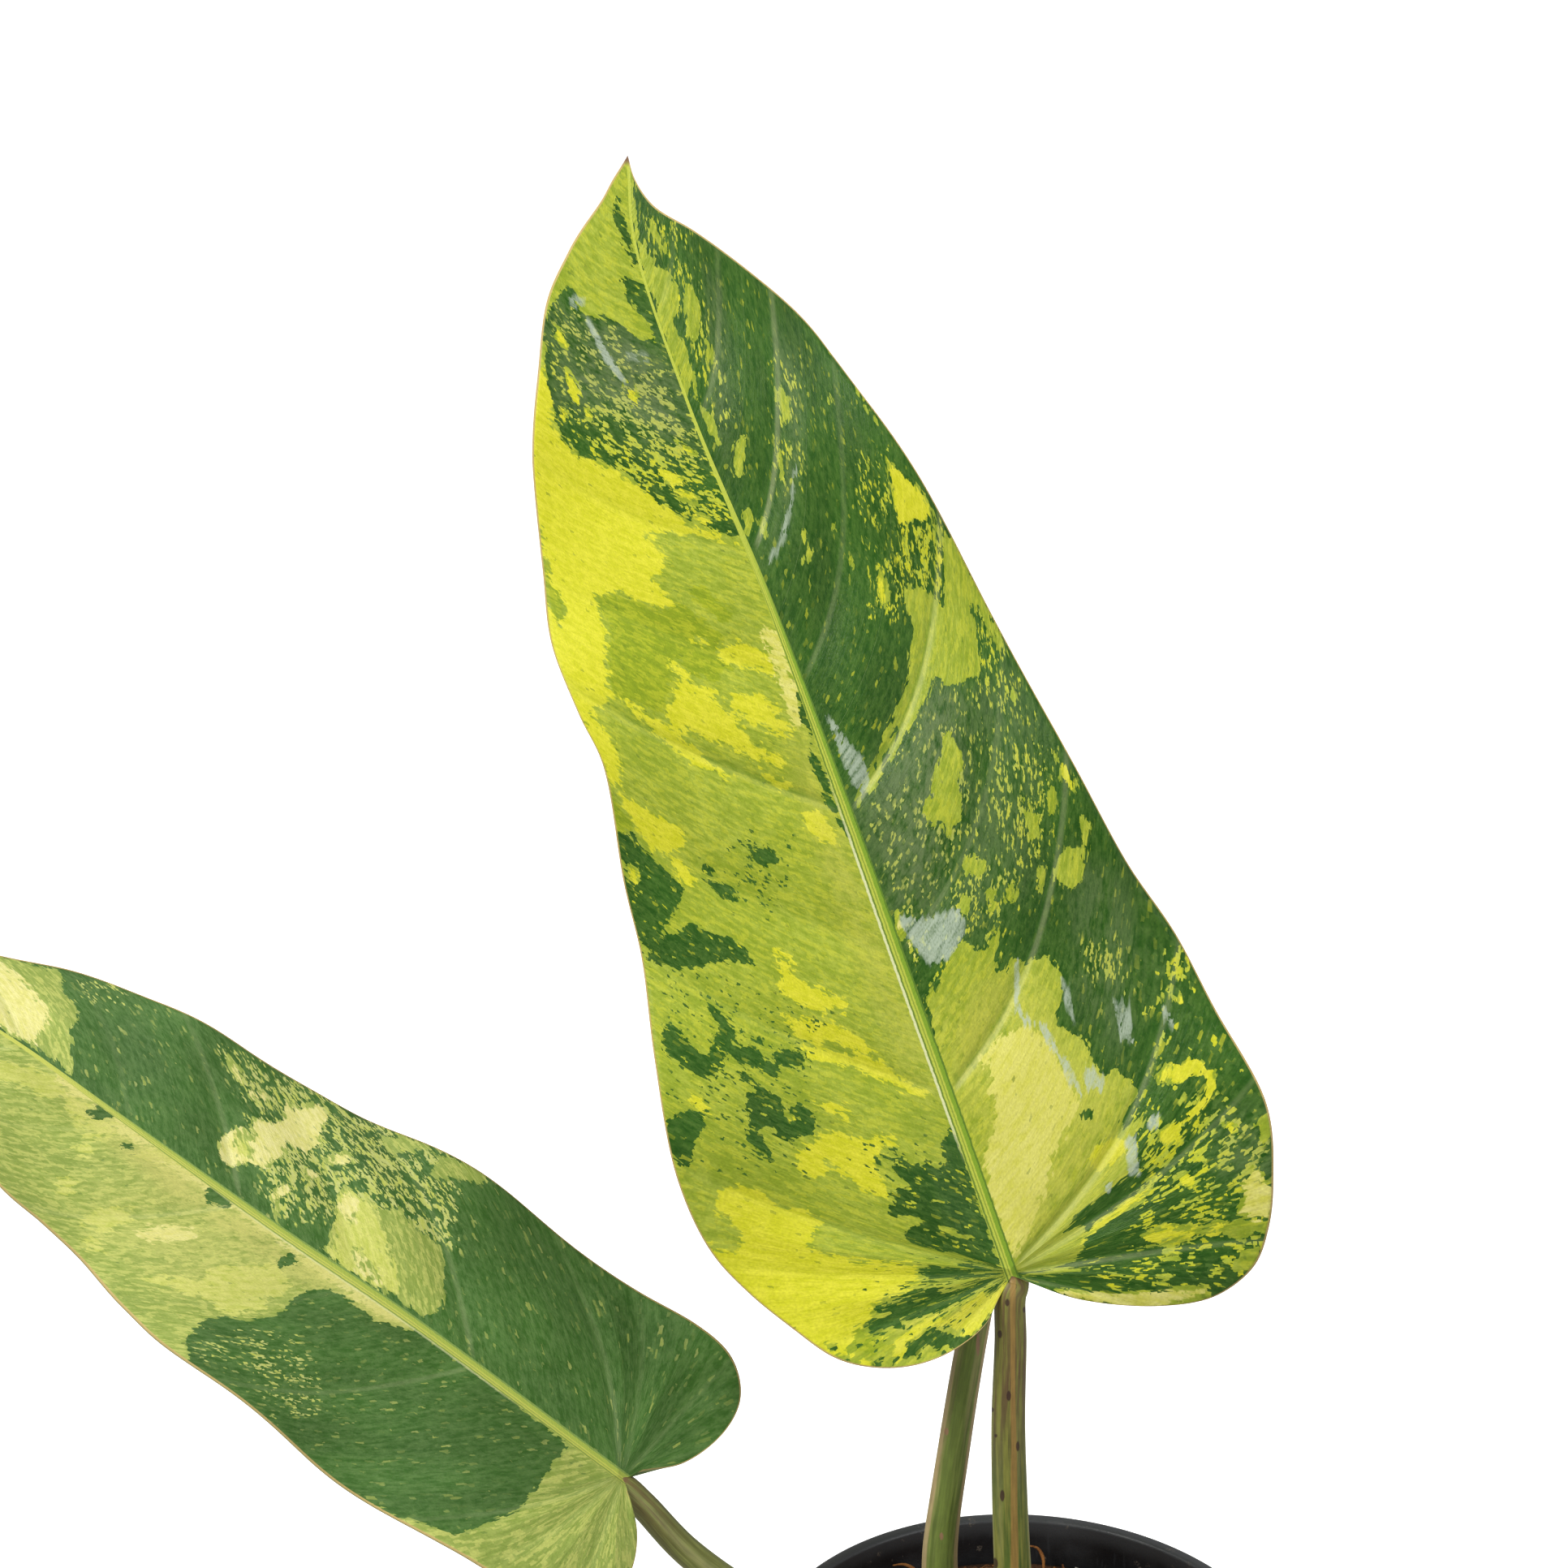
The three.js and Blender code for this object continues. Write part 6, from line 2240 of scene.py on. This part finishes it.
@dataclass(frozen=True)
class SoftLight:
    """One square area light: place and target in metres, side, power and colour."""

    name: str
    place: tuple[float, float, float]
    target: tuple[float, float, float]
    side: float
    power: float
    colour: tuple[float, float, float] = (1.0, 1.0, 1.0)

    def build(self) -> None:
        """Makes the light, turned towards its target."""
        lamp = bpy.data.lights.new(self.name, "AREA")
        lamp.shape = "SQUARE"
        lamp.size = self.side
        lamp.energy = self.power
        lamp.color = self.colour
        holder = show(self.name, lamp)
        holder.location = self.place
        aim = Vector(self.target) - Vector(self.place)
        holder.rotation_euler = aim.to_track_quat("-Z", "Y").to_euler()


@dataclass(frozen=True)
class Studio:
    """Pale floor and backdrop of a radius in metres, white surroundings and soft lights."""

    radius: float = 9.0
    floor_glow: float = 0.82
    world_strength: float = 0.42
    surface: str = "#f4f4f2"
    lights: tuple[SoftLight, ...] = (
        SoftLight("key", (-1.6, -1.1, 2.0), (-0.08, 0.03, 0.34), 0.8, 46.0, (1.0, 0.985, 0.95)),
        SoftLight("fill", (1.5, -1.4, 0.9), (-0.05, 0.03, 0.3), 1.2, 9.0, (0.96, 0.98, 1.0)),
        SoftLight("overhead", (0.2, 0.2, 2.2), (-0.05, 0.05, 0.3), 1.0, 10.0))

    def _surround(self, name: str, profile: Array, glow: float) -> None:
        """Makes a pale turned surface that the camera sees, but that lights nothing.

        Args:
            name: the object's name.
            profile: rows of radius and height in millimetres.
            glow: how bright it is by itself.
        """
        shell = Shell()
        shell.add_grid(turned_grid(profile, 96))
        surface = show(name, shell.mesh(name))
        g = Graph(name + "_paint")
        g.set(Base_Color=self.surface, Roughness=0.9, Specular_IOR_Level=0.1,
              Emission_Color="#ffffff", Emission_Strength=glow)
        surface.data.materials.append(g.material)
        surface.visible_diffuse = False
        surface.visible_glossy = False
        surface.visible_shadow = False

    def build(self) -> None:
        """Makes the floor, the backdrop, the world and the lights."""
        reach = self.radius / MM
        floor = np.array([[0, -20], [reach, -20], [reach, 0], [0, 0]])
        self._surround("studio_floor", floor, self.floor_glow)
        dome = np.array(arc((0, 0), reach, -90, 90, 33))
        dome[[0, -1], 0] = 0
        self._surround("studio_backdrop", dome, 1.0)
        world = bpy.data.worlds.new("soft_white")
        world.use_nodes = True
        sky = world.node_tree.nodes["Background"]
        sky.inputs["Color"].default_value = paint("#ffffff")
        sky.inputs["Strength"].default_value = self.world_strength
        bpy.context.scene.world = world
        for light in self.lights:
            light.build()
        bpy.context.scene.view_settings.view_transform = "Standard"


# The plant's own shapes


FRONT_BLADE = BladeShape(
    node="leaf_front", joint=(-6.9, 0, 233), aim=(0, 0.34202, 0.93969), face=(0, -0.93969, 0.34202),
    midrib=[(0, 0, 0), (38.5, -13.6, 1.5), (78.1, -27.8, 2.4), (115.5, -41.1, 2.6),
            (167.1, -60.2, 1.4), (213.3, -79.2, -1), (254.2, -92.7, -3.6), (275.9, -94.5, -5)],
    halves=(
        Half(BROAD_RIGHT, 0.6, 1.3, STRONG_VEINS, Tone.DEEP, FRONT_RIGHT, 0.012,
             FRONT_RIGHT_FLECKS, (), FRONT_RIGHT_RESIDUE_AND_REFLECTION, FRONT_RIGHT_SHEENS, FRONT_RIGHT_WASHES),
        Half(BROAD_LEFT, 3.4, 1.0, FLAT_VEINS, Tone.LIME, FRONT_LEFT, 0.06, FRONT_LEFT_FLECKS,
             FRONT_LEFT_SPECKS, FRONT_LEFT_RESIDUE_AND_REFLECTION, FRONT_LEFT_SHEENS, FRONT_LEFT_WASHES)),
    scale=(1, 1), fold=0.13, wave=(3.4, 92), seen=True, seed=20, finish=FRONT_FINISH)
LEFT_BLADE = BladeShape(
    node="leaf_left", joint=(-104.6, 4, 172), aim=(-221, 53, 147), face=(0.43, -0.421, 0.799),
    midrib=[(0, 0, 0), (66.4, 0.2, 2), (107.5, -1.1, 2.5), (155.4, -0.7, 2.4), (193.7, 1.1, 0.2),
            (230, 0.5, -5), (268, -3, -14)],
    halves=(
        Half(NARROW_RIGHT, 2.2, 1.3, FAINT_VEINS, Tone.DEEP, LEFT_UPPER, 0.006, LEFT_UPPER_FLECKS),
        Half(NARROW_LEFT, 0.4, 1.0, FAINT_VEINS, Tone.LIME, LEFT_LOWER, 0.006, LEFT_LOWER_FLECKS,
             washes=LEFT_LOWER_WASHES)),
    scale=(1, 1), fold=0.1, wave=(3, 84), seen=True, seed=40, finish=LEFT_FINISH)
BACK_BLADE = BladeShape(
    node="leaf_back", joint=(1, 58, 248), aim=(-46, 226, -4), face=(-0.1, -0.25, 1),
    midrib=[(0, 0, 0), (34, -3, 17), (80, -5, 30), (130, -3, 33), (180, 1, 20), (222, 4, -4)],
    halves=(Half(BROAD_LEFT, 1.4, 1.3), Half(BROAD_RIGHT, 4.1, 1.3)),
    scale=(0.83, 0.74), fold=0.2, wave=(3.6, 78), seen=False, seed=60, finish=FRONT_FINISH)

ROUNDED_END = [(0.95, 3.6), (0.965, 3.0), (0.98, 2.3), (1, 1.1)]
FRONT_STALK = StalkShape(
    node="petiole_front",
    points=[(-10.1, 3.6, 114), (-5.4, 0.8, 119), (-3.4, -0.2, 127), (-3.6, 0, 136), (-4.1, 0, 147),
            (-5.2, 0, 166), (-6.2, 0, 190), (-6.2, 0.2, 213), (-6.5, 0.6, 226)],
    radii=[(0, 6), (0.1, 5.3), (0.32, 4.7), (0.9, 3.9), (0.93, 4.0), *ROUNDED_END],
    finish=StalkFinish("front_stalk_skin", ("#56682a", "#85853c"),
                       "#9c7c40", "#a3a26c", "#6a4a34", "#3b2020"),
    scars=[(1253, 1569, 3, 2), (1241, 1605, 3, 5), (1262, 1614, 2, 4), (1232, 1644, 3, 5),
           (1243, 1720, 3, 7), (1223, 1737, 2, 3), (1227, 1769, 2, 2.5), (1254, 1782, 2.4, 7),
           (1235, 1843, 3, 8), (1226, 1926, 4, 7)],
    stripe=[(1248, 1590, 3.5), (1248, 1700, 3), (1249, 1780, 3.5), (1250, 1932, 5)],
    sides=(0.04, 0.06), top=0.66, seed=3)
BACK_STALK = StalkShape(
    node="petiole_back",
    points=[(-14.6, 7.5, 119), (-18.6, 11.5, 124.5), (-21.4, 14.5, 133), (-21.8, 16, 141.5),
            (-18.2, 22, 170), (-13.9, 28.5, 197), (-8.6, 38, 221), (-3, 48.5, 239)],
    radii=[(0, 5.6), (0.1, 4.9), (0.25, 4.3), (0.9, 3.6), (0.93, 3.7), *ROUNDED_END],
    finish=StalkFinish("back_stalk_skin", ("#5d6d2c", "#7b8742"),
                       "#6c7c34", "#b39c70", "#85804a", "#9a7458"),
    scars=[(1205, 1656, 2.5, 14), (1166, 1764, 3, 5), (1160, 1893, 2.5, 5)],
    stripe=[(1196, 1660, 7), (1180, 1740, 7), (1168, 1800, 7), (1158, 1932, 8)],
    sides=(0.22, 0.26), seed=4)
LEFT_STALK = StalkShape(
    node="petiole_left",
    points=[(-15.6, 3.4, 112), (-21.6, 0.4, 115), (-33.6, -1.6, 120.5), (-51.6, -1, 127.5),
            (-70.6, 1, 137), (-87.6, 3, 150), (-98.6, 4, 163)],
    radii=[(0, 5.6), (0.12, 5), (0.3, 4.4), (0.9, 3.6), (0.93, 3.7), *ROUNDED_END],
    finish=StalkFinish("left_stalk_skin", ("#6a6e35", "#858a49"),
                       "#8d8a3c", "#a99f70", "#74583a", "#38211c"),
    sides=(0.2, 0.15), top=0.95, seed=5)


def main() -> None:
    """Builds the plant, its surroundings and the camera."""
    logging.basicConfig(level=logging.INFO, format="%(name)s: %(message)s")
    pot = Pot()
    mix = PottingMix()
    pot.build()
    pot.build_nub()
    mix.build(pot)
    Stem().build(mix.level)
    pairs = ((FRONT_BLADE, FRONT_STALK), (LEFT_BLADE, LEFT_STALK), (BACK_BLADE, BACK_STALK))
    for blade_shape, stalk_shape in pairs:
        blade = Blade(blade_shape)
        blade.build()
        Stalk(stalk_shape, blade).build()
    Studio().build()
    VIEW.camera()


if __name__ == "__main__":
    main()
